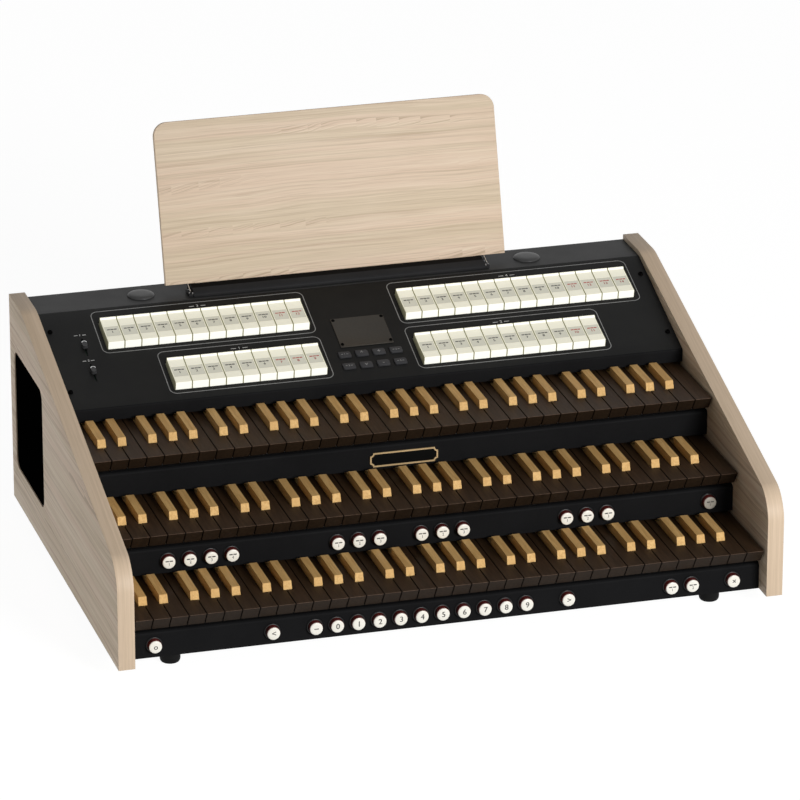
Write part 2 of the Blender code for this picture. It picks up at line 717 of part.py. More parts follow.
def build_carrier(name, u, count, t0, mat):
    """Channel under one tab row, with the rib the tabs rock on."""
    w, deep, top = SHEET_T, -CARRIER_DEEP, -PANEL_T - GAP
    a, b = t0 - 2 * TAB_ROOM, t0 + TAB_D + 2 * TAB_ROOM
    mid, rib = t0 + TAB_D / 2, -TAB_DEEP - GAP
    out = [(a - w, deep), (b + w, deep), (b + w, top), (b, top), (b, deep + w),
           (mid + w / 2, deep + w), (mid + w / 2, rib), (mid - w / 2, rib),
           (mid - w / 2, deep + w), (a, deep + w), (a, top), (a - w, top)]
    u1 = u + count * TAB_PITCH
    finish("carrier_" + name, slab([out], PANEL_SIDE, u - TAB_ROOM, u1 + TAB_ROOM), mat)


def build_display(mat):
    u, t = DISPLAY_AT
    w, d = DISPLAY_W / 2, DISPLAY_D / 2
    finish("display", block(PANEL, u - w, u + w, t - d, t + d, -PANEL_T - MM, DISPLAY_OUT), mat)


def build_menu(mats):
    """Rubber button mat below the panel and the board it is pressed against."""
    top, low = -PANEL_T - GAP, -PANEL_T - GAP - MENU_MAT_T
    w, d = MENU_W / 2, MENU_D / 2
    u, t0, t1 = DISPLAY_AT[0], MENU_ROWS[1] - d - 2 * MM, MENU_ROWS[0] + d + 2 * MM
    half = 1.5 * MENU_PITCH + w + 2 * MM
    origin = (u, *on_panel((t0 + t1) / 2, 0.0)[1:])
    mat_mesh = block(PANEL, u - half, u + half, t0, t1, low, top)
    buttons = finish("menu_buttons", mat_mesh, mats["button"], origin)
    heads = [slab([clipped(x, t, w, d)], PANEL, low + MENU_MAT_T / 2, MENU_OUT)
             for x, t in menu_places()]
    combine(buttons, together(heads), "UNION")
    s = SHEET_T
    a, b, floor = t0 - MM, t1 + MM, low - MENU_TRAVEL - GAP
    out = [(a - s, floor - s), (b + s, floor - s), (b + s, top), (b, top), (b, floor),
           (a, floor), (a, top), (a - s, top)]
    finish("menu_board", slab([out], PANEL_SIDE, u - half, u + half), mats["board"])


def build_knob(name, mid, mat):
    """Slider knob with its flat stem in the slot."""
    at = mid + KNOB_SHIFT
    w, stem = KNOB_W / 2, SLOT_W / 2 - SLIDE_GAP
    section = [(-stem, -PANEL_T), (stem, -PANEL_T), (stem, MM), (w, MM), (w * 0.8, KNOB_H),
               (-w * 0.8, KNOB_H), (-w, MM), (-stem, MM)]
    across = frame_of(on_panel(at, 0.0), (1, 0, 0), PANEL_OUT)
    place = Matrix.Translation((SLIDER_X, 0.0, 0.0)) @ across
    mesh = slab([section], place, -KNOB_L / 2, KNOB_L / 2)
    finish(name, mesh, mat, (SLIDER_X, *on_panel(at, 0.0)[1:]))


def build_slider_board(mat):
    """Board of the two sliders, below the panel."""
    t0 = min(SLOT_MIDS) - SLOT_L / 2 - 5 * MM
    t1 = max(SLOT_MIDS) + SLOT_L / 2 + 5 * MM
    finish("slider_board", block(PANEL, SLIDER_X - 8 * MM, SLIDER_X + 8 * MM, t0, t1,
                                 -PANEL_T - GAP - 8 * MM, -PANEL_T - GAP), mat)


def build_badge(mat):
    """Bare plate with stepped corners on the upper rail."""
    low, top = rail_levels(2)
    u, v = BADGE_X, (low + top) / 2 - BADGE_DOWN
    w, d, c = BADGE_W / 2, BADGE_H / 2, BADGE_STEP
    out = [(u - w + c, v - d), (u + w - c, v - d), (u + w - c, v - d + c), (u + w, v - d + c),
           (u + w, v + d - c), (u + w - c, v + d - c), (u + w - c, v + d), (u - w + c, v + d),
           (u - w + c, v + d - c), (u - w, v + d - c), (u - w, v - d + c), (u - w + c, v - d + c)]
    face = -(FRONTS[2] + RAIL_BACK) + GAP
    finish("badge_plate", slab([out], FRONT, face, face + SHEET_T), mat)


def build_desk(mat):
    """Leaning board with rounded top corners and a tongue below."""
    w, r = DESK_W / 2, DESK_R
    edge = [(-w, 0.0), (w, 0.0)] + arc((w - r, DESK_H - r), r, 0, 90, 5)
    edge += arc((r - w, DESK_H - r), r, 90, 180, 5)
    origin = tuple(DESK @ Vector((0.0, 0.0, -DESK_T / 2)))
    desk = finish("music_desk", slab([edge], DESK, -DESK_T, 0.0), mat, origin)
    s, half = (DESK_T - TONGUE_T) / 2, LEDGE_W / 2 - 10 * MM
    combine(desk, block(DESK, -half, half, -TONGUE_L, TONGUE_L, -DESK_T + s, -s), "UNION")


def desk_side(back, up):
    """Y and Z of a point behind the desk front and up along it."""
    return tuple((DESK_SIDE @ Vector((back, up, 0.0))).yz)


def build_ledge(mat):
    """Black ledge on the cover with a slot for the desk tongue and a clip at each end."""
    z0, y0 = COVER_Z + GAP, LEDGE_FRONT
    s = (DESK_T - TONGUE_T) / 2 - GAP
    rise, span = LEDGE_RISE, LEDGE_AHEAD
    out = [(y0, z0), (LEDGE_BACK, z0), (LEDGE_BACK, z0 + rise * 2.3), desk_side(DESK_T, -GAP),
           desk_side(DESK_T - s, -GAP), desk_side(DESK_T - s, -TONGUE_L - GAP),
           desk_side(s, -TONGUE_L - GAP), desk_side(s, -GAP), desk_side(0.0, -GAP),
           (DESK_FOOT_Y - span * 0.19, z0 + rise * 3.3),
           (DESK_FOOT_Y - span * 0.43, z0 + rise * 2.7),
           (y0 + span * 0.19, z0 + rise * 1.86), (y0, z0 + rise)]
    half = LEDGE_W / 2
    ledge = finish("desk_ledge", slab([out], SIDE, -half, half), mat)
    shape = ((0.09, 0.0), (0.91, 0.0), (1.0, 0.44), (0.65, 1.0), (0.26, 0.89), (0.0, 0.39))
    clip = [(y0 - MM + CLIP_D * u, z0 + MM + CLIP_H * v) for u, v in shape]
    ends = [slab([clip], SIDE, x - CLIP_T / 2, x + CLIP_T / 2) for x in (-half, half)]
    combine(ledge, together(ends), "UNION")


def build_feet(mat):
    r = FOOT_D / 2
    profile = [(0.0, -GAP), (r, -GAP), (r, -0.66 * FOOT_H), (r * 0.96, -0.84 * FOOT_H),
               (r * 0.86, -0.96 * FOOT_H), (r * 0.72, -FOOT_H), (0.0, -FOOT_H)]
    for side, x in (("left", -OUTER + FOOT_IN), ("right", OUTER - FOOT_IN)):
        for end, y in (("front", FRONTS[0] + FOOT_FRONT), ("back", CHEEK_D - FOOT_REAR)):
            place = Matrix.Translation((x, y, FOOT_H))
            finish("foot_" + end + "_" + side, turned(profile, 12, place), mat)


def materials():
    return {
        "wood": make_material("light_oak", (0.52, 0.42, 0.31), 0.6),
        "natural": make_material("dark_wood_key", (0.045, 0.026, 0.018), 0.45),
        "sharp": make_material("tan_wood_key", (0.46, 0.27, 0.11), 0.5),
        "black": make_material("black_paint", (0.012, 0.012, 0.013), 0.4),
        "cover": make_material("grey_paint", (0.04, 0.04, 0.042), 0.5),
        "cloth": make_material("black_cloth", (0.004, 0.004, 0.004), 0.9),
        "rubber": make_material("black_rubber", (0.015, 0.015, 0.015), 0.8),
        "ivory": make_material("ivory_plastic", (0.72, 0.70, 0.60), 0.35),
        "piston": make_material("white_plastic", (0.80, 0.79, 0.75), 0.3),
        "button": make_material("grey_rubber", (0.05, 0.05, 0.055), 0.4),
        "plastic": make_material("black_plastic", (0.02, 0.02, 0.02), 0.35),
        "glass": make_material("display_glass", (0.06, 0.055, 0.05), 0.15),
        "metal": make_material("zinc_steel", (0.45, 0.46, 0.47), 0.4, 1.0),
        "board": make_material("green_board", (0.02, 0.10, 0.05), 0.5),
        "brass": make_material("badge_brass", (0.55, 0.42, 0.22), 0.35, 0.6),
    }


def build_cabinet(mats):
    build_cheek("left", -1, mats)
    build_cheek("right", 1, mats)
    build_base(mats["black"])
    build_back(mats)
    build_cover(mats)
    build_rail("front_rail", 0, FRONT_START, FRONT_PISTONS, mats["black"])
    build_rail("middle_rail", 1, MIDDLE_START, MIDDLE_PISTONS, mats["black"])
    build_rail("upper_rail", 2, 0.0, (), mats["black"])
    build_badge(mats["brass"])
    build_feet(mats["rubber"])
    build_rib(mats["wood"])
    build_desk(mats["wood"])
    build_ledge(mats["plastic"])


def build_stop_panel(mats):
    build_panel(mats["black"])
    for name, u, count, t0 in rows():
        build_tabs(name, u, count, t0, mats["ivory"])
        build_carrier(name, u, count, t0, mats["metal"])
    build_display(mats["glass"])
    build_menu(mats)
    build_knob("reverb_knob", SLOT_MIDS[0], mats["plastic"])
    build_knob("volume_knob", SLOT_MIDS[1], mats["plastic"])
    build_slider_board(mats["board"])


def build_all():
    clear_scene()
    mats = materials()
    build_cabinet(mats)
    for index, name in enumerate(("one", "two", "three")):
        build_naturals("naturals_" + name, index, mats["natural"])
        build_sharps("sharps_" + name, index, mats["sharp"])
        build_key_frame("key_frame_" + name, index, mats["metal"])
    build_pistons(0, FRONT_START, FRONT_PISTONS, mats["piston"])
    build_pistons(1, MIDDLE_START, MIDDLE_PISTONS, mats["piston"])
    build_stop_panel(mats)


build_all()
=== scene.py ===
# %% [markdown]
# # The looks of a table-top church organ
#
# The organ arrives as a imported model: plain solids that already have the right size, place
# and joints. This lesson gives them their looks. Shapes that are right stay as they are and
# only get a finish. Keys, tabs, pistons, boards and trim are modelled again with softened
# edges, each in the place of the solid that it stands for.
#
# Everything is in metres, X to the player's right, Y away from the player, Z up.

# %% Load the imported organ
import math

import bmesh
import bpy
from mathutils import Matrix, Vector


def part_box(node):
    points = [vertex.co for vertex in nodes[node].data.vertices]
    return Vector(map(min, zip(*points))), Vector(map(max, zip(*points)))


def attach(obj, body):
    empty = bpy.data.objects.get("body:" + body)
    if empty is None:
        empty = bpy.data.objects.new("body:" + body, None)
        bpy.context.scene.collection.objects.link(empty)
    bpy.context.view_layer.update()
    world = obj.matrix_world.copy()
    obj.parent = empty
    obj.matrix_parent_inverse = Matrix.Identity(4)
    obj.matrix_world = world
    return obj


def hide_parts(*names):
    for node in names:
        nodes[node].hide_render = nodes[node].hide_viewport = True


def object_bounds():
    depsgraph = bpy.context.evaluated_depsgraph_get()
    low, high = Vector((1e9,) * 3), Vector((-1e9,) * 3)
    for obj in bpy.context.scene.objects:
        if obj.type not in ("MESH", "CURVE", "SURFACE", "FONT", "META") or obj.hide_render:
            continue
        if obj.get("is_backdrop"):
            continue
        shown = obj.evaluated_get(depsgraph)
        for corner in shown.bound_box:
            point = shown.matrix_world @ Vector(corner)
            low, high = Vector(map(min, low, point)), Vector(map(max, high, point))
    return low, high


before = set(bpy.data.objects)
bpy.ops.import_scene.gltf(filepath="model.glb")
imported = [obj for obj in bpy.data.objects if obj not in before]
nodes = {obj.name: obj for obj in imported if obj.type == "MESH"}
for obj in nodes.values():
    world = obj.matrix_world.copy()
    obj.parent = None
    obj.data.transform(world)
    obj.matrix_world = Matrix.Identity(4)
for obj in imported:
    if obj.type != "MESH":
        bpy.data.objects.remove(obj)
cad_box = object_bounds()
MM = 0.001
print("packed solids:", len(nodes))

# %% [markdown]
# ## Camera
#
# The picture was taken from the left, a little above, with a very long lens. The keyboards
# have a known key width, so the camera could be worked out from them, and it is typed in
# here as found.

# %% Camera
camera = bpy.data.objects.new("camera", bpy.data.cameras.new("camera"))
bpy.context.scene.collection.objects.link(camera)
camera.location = (-1.93539, -6.80786, 2.96599)
camera.rotation_euler = (math.radians(68.814), 0.0, math.radians(-16.005))
camera.data.sensor_width = 36.0
camera.data.lens = 256.6
camera.data.clip_end = 60.0
bpy.context.scene.camera = camera
print("lens in mm:", round(camera.data.lens, 1))

# %% [markdown]
# ## Sums with sockets
#
# A finish is a small calculation: a noise times a number, a mask taken from one. Blender
# stores it as nodes and links. A class that holds one output socket and knows plus, minus
# and times lets us write the calculation as a calculation.


# %% Value, a socket that can be added and multiplied
class Value:
    """An output socket of a finish, with the signs that the finishes below use."""

    def __init__(self, finish, socket):
        self.finish = finish
        self.socket = socket

    def __add__(self, other):
        return self.finish.reckon("ADD", self, other)

    __radd__ = __add__

    def __sub__(self, other):
        return self.finish.reckon("SUBTRACT", self, other)

    def __mul__(self, other):
        return self.finish.reckon("MULTIPLY", self, other)


# %% [markdown]
# A finish keeps its material and the one method that adds a node. Settings come first,
# because some of them change which sockets a node has. Colours are written as they look
# on a screen, from 0 to 255, and turned into the light values that the shader needs.


# %% Finish, a material that is built up node by node
def screen(red, green, blue):
    """Light values of a colour that is written as a screen shows it."""
    parts = [c / 255 for c in (red, green, blue)]
    light = [c / 12.92 if c <= 0.04045 else ((c + 0.055) / 1.055) ** 2.4 for c in parts]
    return (*light, 1.0)


class Recipe:
    """The nodes of a material or of the world, added one by one."""

    def __init__(self, owner, main):
        owner.use_nodes = True
        self.nodes = owner.node_tree.nodes
        self.links = owner.node_tree.links
        self.shader = self.nodes[main]

    def set(self, name, value):
        self.join(value, self.shader.inputs[name])

    def join(self, value, socket):
        if isinstance(value, Value):
            self.links.new(value.socket, socket)
        else:
            socket.default_value = value

    def node(self, kind, settings, sockets, out=0):
        """One node of a kind: its settings, then the values or links of its sockets."""
        made = self.nodes.new(kind)
        for key, value in settings.items():
            setattr(made, key, value)
        for key, value in sockets.items():
            self.join(value, made.inputs[key])
        return Value(self, made.outputs[out])

    def reckon(self, operation, a, b):
        return self.node("ShaderNodeMath", {"operation": operation}, {0: a, 1: b})


class Finish(Recipe):
    """A Principled material. Steady numbers sit on its own sockets."""

    def __init__(self, name, colour, rough, **steady):
        self.material = bpy.data.materials.new(name)
        super().__init__(self.material, "Principled BSDF")
        self.set("Base Color", colour)
        self.set("Roughness", rough)
        for key, value in steady.items():
            self.set(key.replace("_", " "), value)


# %% [markdown]
# A few more words make every pattern here: how far a point lies along a direction, how noisy
# it is there, how to spread a value out, how to mix two colours, and how to turn a height
# into a bump.


# %% Words for patterns
def along(finish, way):
    """How far a point lies along a direction, in metres."""
    place = finish.node("ShaderNodeTexCoord", {}, {}, out="Object")
    return finish.node(
        "ShaderNodeVectorMath", {"operation": "DOT_PRODUCT"}, {0: place, 1: way}, out="Value"
    )


def axes(finish):
    """How far a point lies along X, along Y and along Z."""
    return tuple(along(finish, way) for way in ((1, 0, 0), (0, 1, 0), (0, 0, 1)))


def noise(place, scale, detail=2.0, rough=0.5):
    """Noise at a place, with one scale, or with one for each of three coordinates."""
    if isinstance(place, tuple):
        scaled = {i: value * factor for i, (value, factor) in enumerate(zip(place, scale))}
        place, scale = place[0].finish.node("ShaderNodeCombineXYZ", {}, scaled), 1.0
    sockets = {"Vector": place, "Scale": scale, "Detail": detail, "Roughness": rough}
    return place.finish.node("ShaderNodeTexNoise", {}, sockets)


def fade(value, low, high):
    """The value spread out so that low becomes 0 and high becomes 1."""
    sockets = {"Value": value, "From Min": low, "From Max": high}
    settings = {"interpolation_type": "SMOOTHSTEP"}
    return value.finish.node("ShaderNodeMapRange", settings, sockets)


def blend(mask, first, second):
    """The first colour where the mask is 0, the second where it is 1."""
    sockets = {0: mask, 6: first, 7: second}
    return mask.finish.node("ShaderNodeMix", {"data_type": "RGBA"}, sockets, out=2)


def raise_bump(height, depth, strength=1.0):
    sockets = {"Height": height, "Distance": depth, "Strength": strength}
    height.finish.set("Normal", height.finish.node("ShaderNodeBump", {}, sockets))


# %% [markdown]
# ## Light oak laminate
#
# Cheeks and music desk are boards with a printed oak laminate, pale and slightly grey.
# Close up, the print has four layers. Soft bands in a rosy and a greenish beige run with
# the grain. Thin growth lines wander through them. Here and there a growth line breaks up
# into a row of short slanting hooks, as where a saw cuts across a bulge of the trunk. Over
# all lie fibres and pores as fine as hair.
#
# All of them are long in the direction of the grain, so the coordinate along the grain has
# a small scale in every noise, and the one across it a large scale. For the hooks, the
# board is divided into rows. In the middle zone of a row the lines are pushed sideways, by
# an amount that grows along the grain and starts again at every hook.

# %% Light oak laminate
OAK_ROSY = screen(219, 195, 171)
OAK_GREEN = screen(211, 192, 165)
OAK_PALE = screen(228, 210, 187)
OAK_DARK = screen(182, 158, 132)
WANDER = 42.0 * MM
HOOK_ROW = 62.0 * MM
HOOK_ZONE = (8.5 * MM, 3.0 * MM)
HOOK_SWING = 5.8 * MM
PORE_DEPTH = 0.05 * MM


def oak_laminate(name, ways, strong, hook, fine):
    """Oak print. The ways lead along, across and through the board, a hook has a length."""
    oak = Finish(name, OAK_ROSY, 0.5, Specular_IOR_Level=0.3)
    u, v, w = (along(oak, way) for way in ways)
    bent = v + noise((u, v, w), (1.7, 5.0, 5.0), 3.0) * WANDER
    row = oak.reckon("FLOOR", bent * (1.0 / HOOK_ROW), 0.0)
    height = (bent * (1.0 / HOOK_ROW) - row - 0.5) * HOOK_ROW
    waver = noise((u, row, w), (21.0, 5.3, 9.0), 1.0)
    step = oak.reckon("FRACT", u * (1.0 / hook) + row * 0.37 + waver * 1.2, 0.0)
    present = fade(noise((u, row, w), (4.5, 7.7, 5.0), 0.0), 0.42, 0.55)
    zone = fade(oak.reckon("ABSOLUTE", height, 0.0), *HOOK_ZONE) * present
    hooked = bent - zone * (step - 0.5) * HOOK_SWING
    soft = noise((u, bent, w), (1.4, 62.0, 55.0))
    bands = noise((u, bent, w), (1.8, 140.0, 130.0), 3.0, 0.6)
    lines = noise((u, hooked, w), (2.4, fine, 120.0), 2.0, 0.6)
    fibre = noise((u, v, w), (13.0, 800.0, 620.0), 2.0, 0.6)
    colour = blend(fade(soft, 0.38, 0.62), OAK_ROSY, OAK_GREEN)
    for mask, tone in (
        (fade(bands, 0.52, 0.72) * (0.55 * strong), OAK_PALE),
        (fade(bands, 0.46, 0.28) * (0.38 * strong), OAK_DARK),
        (fade(lines, 0.53, 0.70) * (zone * 0.52 + 0.22 + 0.22 * strong), OAK_DARK),
        (fade(lines, 0.47, 0.30) * (zone * 0.42 + 0.24 + 0.20 * strong), OAK_PALE),
        (fade(fibre, 0.50, 0.74) * 0.42, OAK_DARK),
        (fade(fibre, 0.48, 0.28) * 0.36, OAK_PALE),
    ):
        colour = blend(mask, colour, tone)
    oak.set("Base Color", colour)
    oak.set("Roughness", 0.44 + fibre * 0.16)
    raise_bump(fibre, PORE_DEPTH, 0.6)
    return oak.material


# %% [markdown]
# The figure of a cheek runs to the rear and has strong bands and long hooks. That of the
# desk runs from side to side and is calmer. The desk leans back by 16 degrees, so the two
# other directions of its board lean too.

# %% Both oak boards
DESK_UP, DESK_IN = (0.0, 0.276, 0.961), (0.0, 0.961, -0.276)
oak_cheek = oak_laminate(
    "light_oak_cheek", ((0, 1, 0), (0, 0, 1), (1, 0, 0)), 2.6, 85.0 * MM, 260.0)
oak_desk = oak_laminate(
    "light_oak_desk", ((1, 0, 0), DESK_UP, DESK_IN), 1.0, 34.0 * MM, 430.0)
print("oak finishes:", oak_cheek.name, oak_desk.name)

# %% [markdown]
# The thin edges of a laminate board carry an edge band of the same print. Its lines run
# along the edge, round every corner. A cheek's edge runs in Y and Z, so these two have a
# small scale and X has a large one. The desk's edge is looked at from the front, where X
# has the small scale.


# %% Oak edge band
def oak_band(name, scale):
    """Edge band: quick changes across the edge, slow ones along it."""
    band = Finish(name, OAK_ROSY, 0.5, Specular_IOR_Level=0.3)
    place = axes(band)
    lines = noise(place, scale, 3.0, 0.6)
    fibre = noise(place, (1200.0, 26.0, 26.0))
    colour = blend(fade(lines, 0.30, 0.70), screen(221, 198, 172), screen(209, 186, 159))
    band.set("Base Color", blend(fade(fibre, 0.45, 0.75) * 0.25, colour, OAK_DARK))
    raise_bump(lines, PORE_DEPTH, 0.5)
    return band.material


oak_cheek_band = oak_band("light_oak_cheek_band", (300.0, 3.6, 3.6))
oak_desk_band = oak_band("light_oak_desk_band", (3.6, 300.0, 300.0))

# %% [markdown]
# ## Wood of the keys
#
# The naturals are dark brown wood, nearly without figure, and the sharps are a warm tan
# wood with a fine straight grain. The front edges of the naturals carry a pale painted
# highlight, where the rounded edge catches the light. Their sides are painted nearly black
# as shade, which is why the gaps between them look so dark. The fronts below the edge carry
# painted shade, a shade darker than the tops. The tone of each key differs a little from its
# neighbour: a slow noise across the keyboard does that, because two keys are never cut from
# the same place.


# %% Wood of the keys
def key_wood(name, light, dark, pore, rough, tone):
    """Wood with its grain along the key. The tone says how far two keys differ."""
    light, dark, pore = (screen(*colour) for colour in (light, dark, pore))
    wood = Finish(name, light, rough, Specular_IOR_Level=0.07)
    place = axes(wood)
    plank = noise(place, (33.0, 0.8, 9.0), 1.0)
    figure = noise(place, (320.0, 22.0, 320.0), 3.0, 0.6)
    fibre = noise(place, (1500.0, 70.0, 1500.0), 2.0, 0.6)
    specks = fade(noise(place, (900.0, 260.0, 900.0)), 0.60, 0.72) * 0.5
    colour = blend(fade(figure, 0.34, 0.68), light, dark)
    colour = blend(fade(plank, 0.35, 0.65) * tone, colour, dark)
    wood.set("Base Color", blend(specks, colour, pore))
    wood.set("Roughness", rough + fibre * 0.14 - 0.07)
    raise_bump(fibre - specks, PORE_DEPTH, 0.6)
    return wood.material


# Three of these woods are painted light on the naturals: a pale painted highlight for the front
# edges, and painted shade, nearly black on the sides and darker on the fronts.
dark_wood = key_wood("dark_wood_key", (61, 44, 30), (46, 33, 21), (27, 19, 12), 0.5, 0.5)
tan_wood = key_wood("tan_wood_key", (238, 196, 130), (217, 172, 108), (182, 136, 80), 0.45, 0.5)
edge_highlight_wood = key_wood("key_edge_painted_highlight", (118, 97, 84), (92, 74, 62), (56, 42, 33), 0.5, 0.5)
side_shade_wood = key_wood("key_side_painted_shade", (16, 11, 8), (11, 8, 6), (6, 4, 3), 0.7, 0.3)
front_shade_wood = key_wood("key_front_painted_shade", (46, 35, 25), (35, 26, 18), (21, 15, 10), 0.5, 0.5)

# %% [markdown]
# ## Painted sheet, plastic, rubber and print
#
# The dark surfaces differ in their skin. Powder paint on the sheet metal has a fine orange
# peel, the rails are smoother, rubber is dull, and plastic is even. One helper covers them:
# a base colour, a second tone in soft clouds, and a grain of a given size for the bump.
# The ivory of the tabs gets a faint glow of its own, which is painted light that brightens
# the tabs, the fronts most.


# %% Even finishes with a grained skin
def grained(name, colour, other, rough, grain, depth, shine=0.5, glow=None, **steady):
    """A nearly even finish: two tones in clouds, and a bump with grain and depth in mm."""
    colour, other = screen(*colour), screen(*other)
    skin = Finish(name, colour, rough, Specular_IOR_Level=shine, **steady)
    # A glow is painted light: the surface gives off light of its own, though it is no lamp.
    if glow:
        skin.set("Emission Color", screen(*glow[:3]))
        skin.set("Emission Strength", glow[3])
    place = skin.node("ShaderNodeTexCoord", {}, {}, out="Object")
    clouds = noise(place, 14.0, 4.0, 0.6)
    speckle = noise(place, 1.0 / (grain * MM))
    skin.set("Base Color", blend(fade(clouds * 0.6 + speckle * 0.4, 0.35, 0.65), colour, other))
    skin.set("Roughness", rough + (clouds - 0.5) * 0.16)
    raise_bump(speckle, depth * MM)
    return skin.material


panel_paint = grained("black_powder_paint", (20, 20, 19), (16, 16, 16), 0.5, 0.9, 0.03, 0.1)
# The rail black also lies on the front lip of the stop panel, as painted shade.
rail_paint_and_lip_shade = grained("black_rail_paint_and_lip_shade", (23, 23, 24), (19, 19, 20), 0.62, 1.6, 0.02, 0.04)
cover_paint = grained("grey_cover_paint", (50, 50, 50), (45, 45, 45), 0.5, 0.9, 0.03, 0.1)
ledge_black = grained("black_ledge_paint", (42, 42, 43), (37, 37, 38), 0.55, 0.9, 0.02, 0.06)
badge_black_and_ledge_shadow = grained("badge_black_and_ledge_shadow", (7, 7, 7), (5, 5, 5), 0.5, 0.9, 0.01, 0.05)
board_green = grained("green_board", (14, 34, 24), (10, 26, 18), 0.45, 1.0, 0.02, 0.2)
screw_black = grained("blackened_screw", (3, 3, 3), (1, 1, 1), 0.6, 0.5, 0.01, 0.02)
rubber = grained("black_rubber", (18, 18, 18), (13, 13, 13), 0.72, 0.6, 0.04, 0.12)
button_rubber = grained("grey_button_rubber", (56, 56, 58), (48, 48, 50), 0.55, 0.5, 0.02, 0.2)
plug_plastic = grained("grey_plug_plastic", (70, 70, 70), (64, 64, 64), 0.34, 0.9, 0.015, 0.12)
cap_grey = grained("grey_slider_plastic", (62, 62, 63), (54, 54, 55), 0.4, 0.6, 0.01, 0.2)
black_plastic = grained("black_gloss_plastic", (20, 20, 20), (16, 16, 16), 0.3, 1.2, 0.012, 0.4)
display_plate = grained("display_window", (66, 62, 56), (63, 59, 54), 0.22, 3.0, 0.004, 0.1)
# The tab finishes carry painted light. All four glow. The fronts are a paler copy with more glow,
# a painted highlight. The sides are a darker olive copy, partly the plastic's own edge tone and
# partly painted shade.
ivory = grained(
    "ivory_tab_plastic_painted_glow", (235, 231, 211), (231, 227, 205), 0.34, 2.5, 0.008, 0.35,
    (250, 248, 232, 0.3))
lit_ivory_front = grained(
    "ivory_tab_front_painted_highlight", (238, 236, 226), (234, 232, 221), 0.34, 2.5, 0.008, 0.35,
    (252, 252, 244, 0.42))
shaded_tab_side = grained(
    "ivory_tab_side_painted_shade", (196, 194, 160), (186, 184, 150), 0.45, 2.0, 0.01, 0.35,
    (196, 194, 158, 0.09))
tab_label = grained(
    "tab_label_grey_painted_glow", (205, 203, 186), (198, 196, 179), 0.3, 1.5, 0.006, 0.35,
    (222, 220, 206, 0.26))
piston_face = grained(
    "white_piston_plastic", (250, 247, 237), (245, 241, 229), 0.3, 2.0, 0.006,
    Coat_Weight=0.3, Coat_Roughness=0.1)
piston_grey = grained(
    "grey_piston_plastic", (176, 171, 160), (168, 163, 152), 0.32, 2.0, 0.006,
    Coat_Weight=0.3, Coat_Roughness=0.1)
piston_body = grained(
    "dark_red_plastic", (122, 38, 32), (100, 30, 26), 0.25, 1.5, 0.006,
    Coat_Weight=0.5, Coat_Roughness=0.08)
print_white = grained("white_print", (216, 216, 214), (202, 202, 200), 0.55, 0.8, 0.004)
print_grey = grained("grey_print", (150, 150, 149), (138, 138, 137), 0.55, 0.8, 0.004)
print_dark = grained("dark_print", (50, 48, 45), (40, 38, 36), 0.5, 0.8, 0.004)
print_red = grained("red_print", (196, 74, 66), (184, 64, 58), 0.5, 0.8, 0.004)

# %% [markdown]
# ## Metals
#
# Zinc for the hidden sheet parts, a bright one for the wires of the desk ledge and, as a
# painted highlight, for the far half of the slider rims, and a dark polished one for the
# pins of the desk ledge. Brushing runs along X, so X has the small scale. The gold of the
# badge is a lacquer, so it is an even finish with a little metal in it.


# %% Metals
def brushed(name, colour, other, rough, pitch):
    """Metal with fine lines along X, a pitch in mm apart, and a slightly uneven shine."""
    colour, other = screen(*colour), screen(*other)
    metal = Finish(name, colour, rough, Metallic=1.0)
    close = 1.0 / (pitch * MM)
    strokes = noise(axes(metal), (30.0, close, close))
    metal.set("Base Color", blend(fade(strokes, 0.3, 0.7), colour, other))
    metal.set("Roughness", rough + (strokes - 0.5) * 0.2)
    raise_bump(strokes, 0.02 * MM, 0.5)
    return metal.material


gilt = grained(
    "badge_gilt", (202, 174, 130), (186, 158, 115), 0.35, 0.8, 0.01, Metallic=0.15)
zinc = brushed("zinc_sheet", (176, 178, 180), (158, 160, 163), 0.38, 1.2)
dark_chrome = brushed("dark_chrome", (150, 150, 152), (132, 132, 134), 0.16, 0.6)
bright_metal_and_rim_highlight = brushed("bright_metal_and_rim_highlight", (226, 226, 226), (208, 208, 208), 0.32, 0.6)

# %% [markdown]
# The cheek openings are closed by black cloth on a board. Its colour is set almost to pure
# black with no shine, darker than cloth, as painted shade for the deep black of the
# openings. A weave is two sets of waves that cross, and only the bump and a trace of colour
# show it, because the cloth is as good as black.

# %% Black speaker cloth
THREADS = 1.4 * MM
# Almost pure black with no shine, darker than cloth: painted shade of the openings.
cloth = Finish("black_cloth", screen(3, 3, 3), 1.0, Specular_IOR_Level=0.0)
warp, weft = (
    cloth.reckon("SINE", along(cloth, way) * (2 * math.pi / THREADS), 0.0)
    for way in ((0, 1, 0), (0, 0, 1))
)
weave = warp * weft
cloth.set("Base Color", blend(fade(weave, -1.0, 1.0), screen(1, 1, 1), screen(5, 5, 5)))
raise_bump(weave, 0.1 * MM, 0.5)
black_cloth = cloth.material

# %% [markdown]
# ## Words for shapes
#
# Almost every piece here is a plate or a turned part. A plate starts as one face through a
# few corners. Its corners are rounded by a bevel of the corner points, the face is pulled
# to its thickness, and the crisp edges are eased, because a real edge is never sharp and
# the small round is what catches the light.


# %% Plates
def shift(x, y, z=0.0):
    return Matrix.Translation((x, y, z))


def face_through(bm, corners):
    return bm.faces.new([bm.verts.new(corner) for corner in corners])


def round_corner(bm, corner, reach, steps=8):
    """Round one corner point of a face, with the cut starting that far from the corner."""
    found = min(bm.verts, key=lambda v: (v.co - Vector(corner)).length)
    bmesh.ops.bevel(
        bm, geom=[found], offset=reach, affect="VERTICES", segments=steps, profile=0.5, material=-1
    )


def rounded_face(bm, corners, reaches, steps):
    """A face through some corners, each of them rounded."""
    face_through(bm, corners)
    for corner, reach in zip(corners, reaches):
        round_corner(bm, corner, reach, steps)


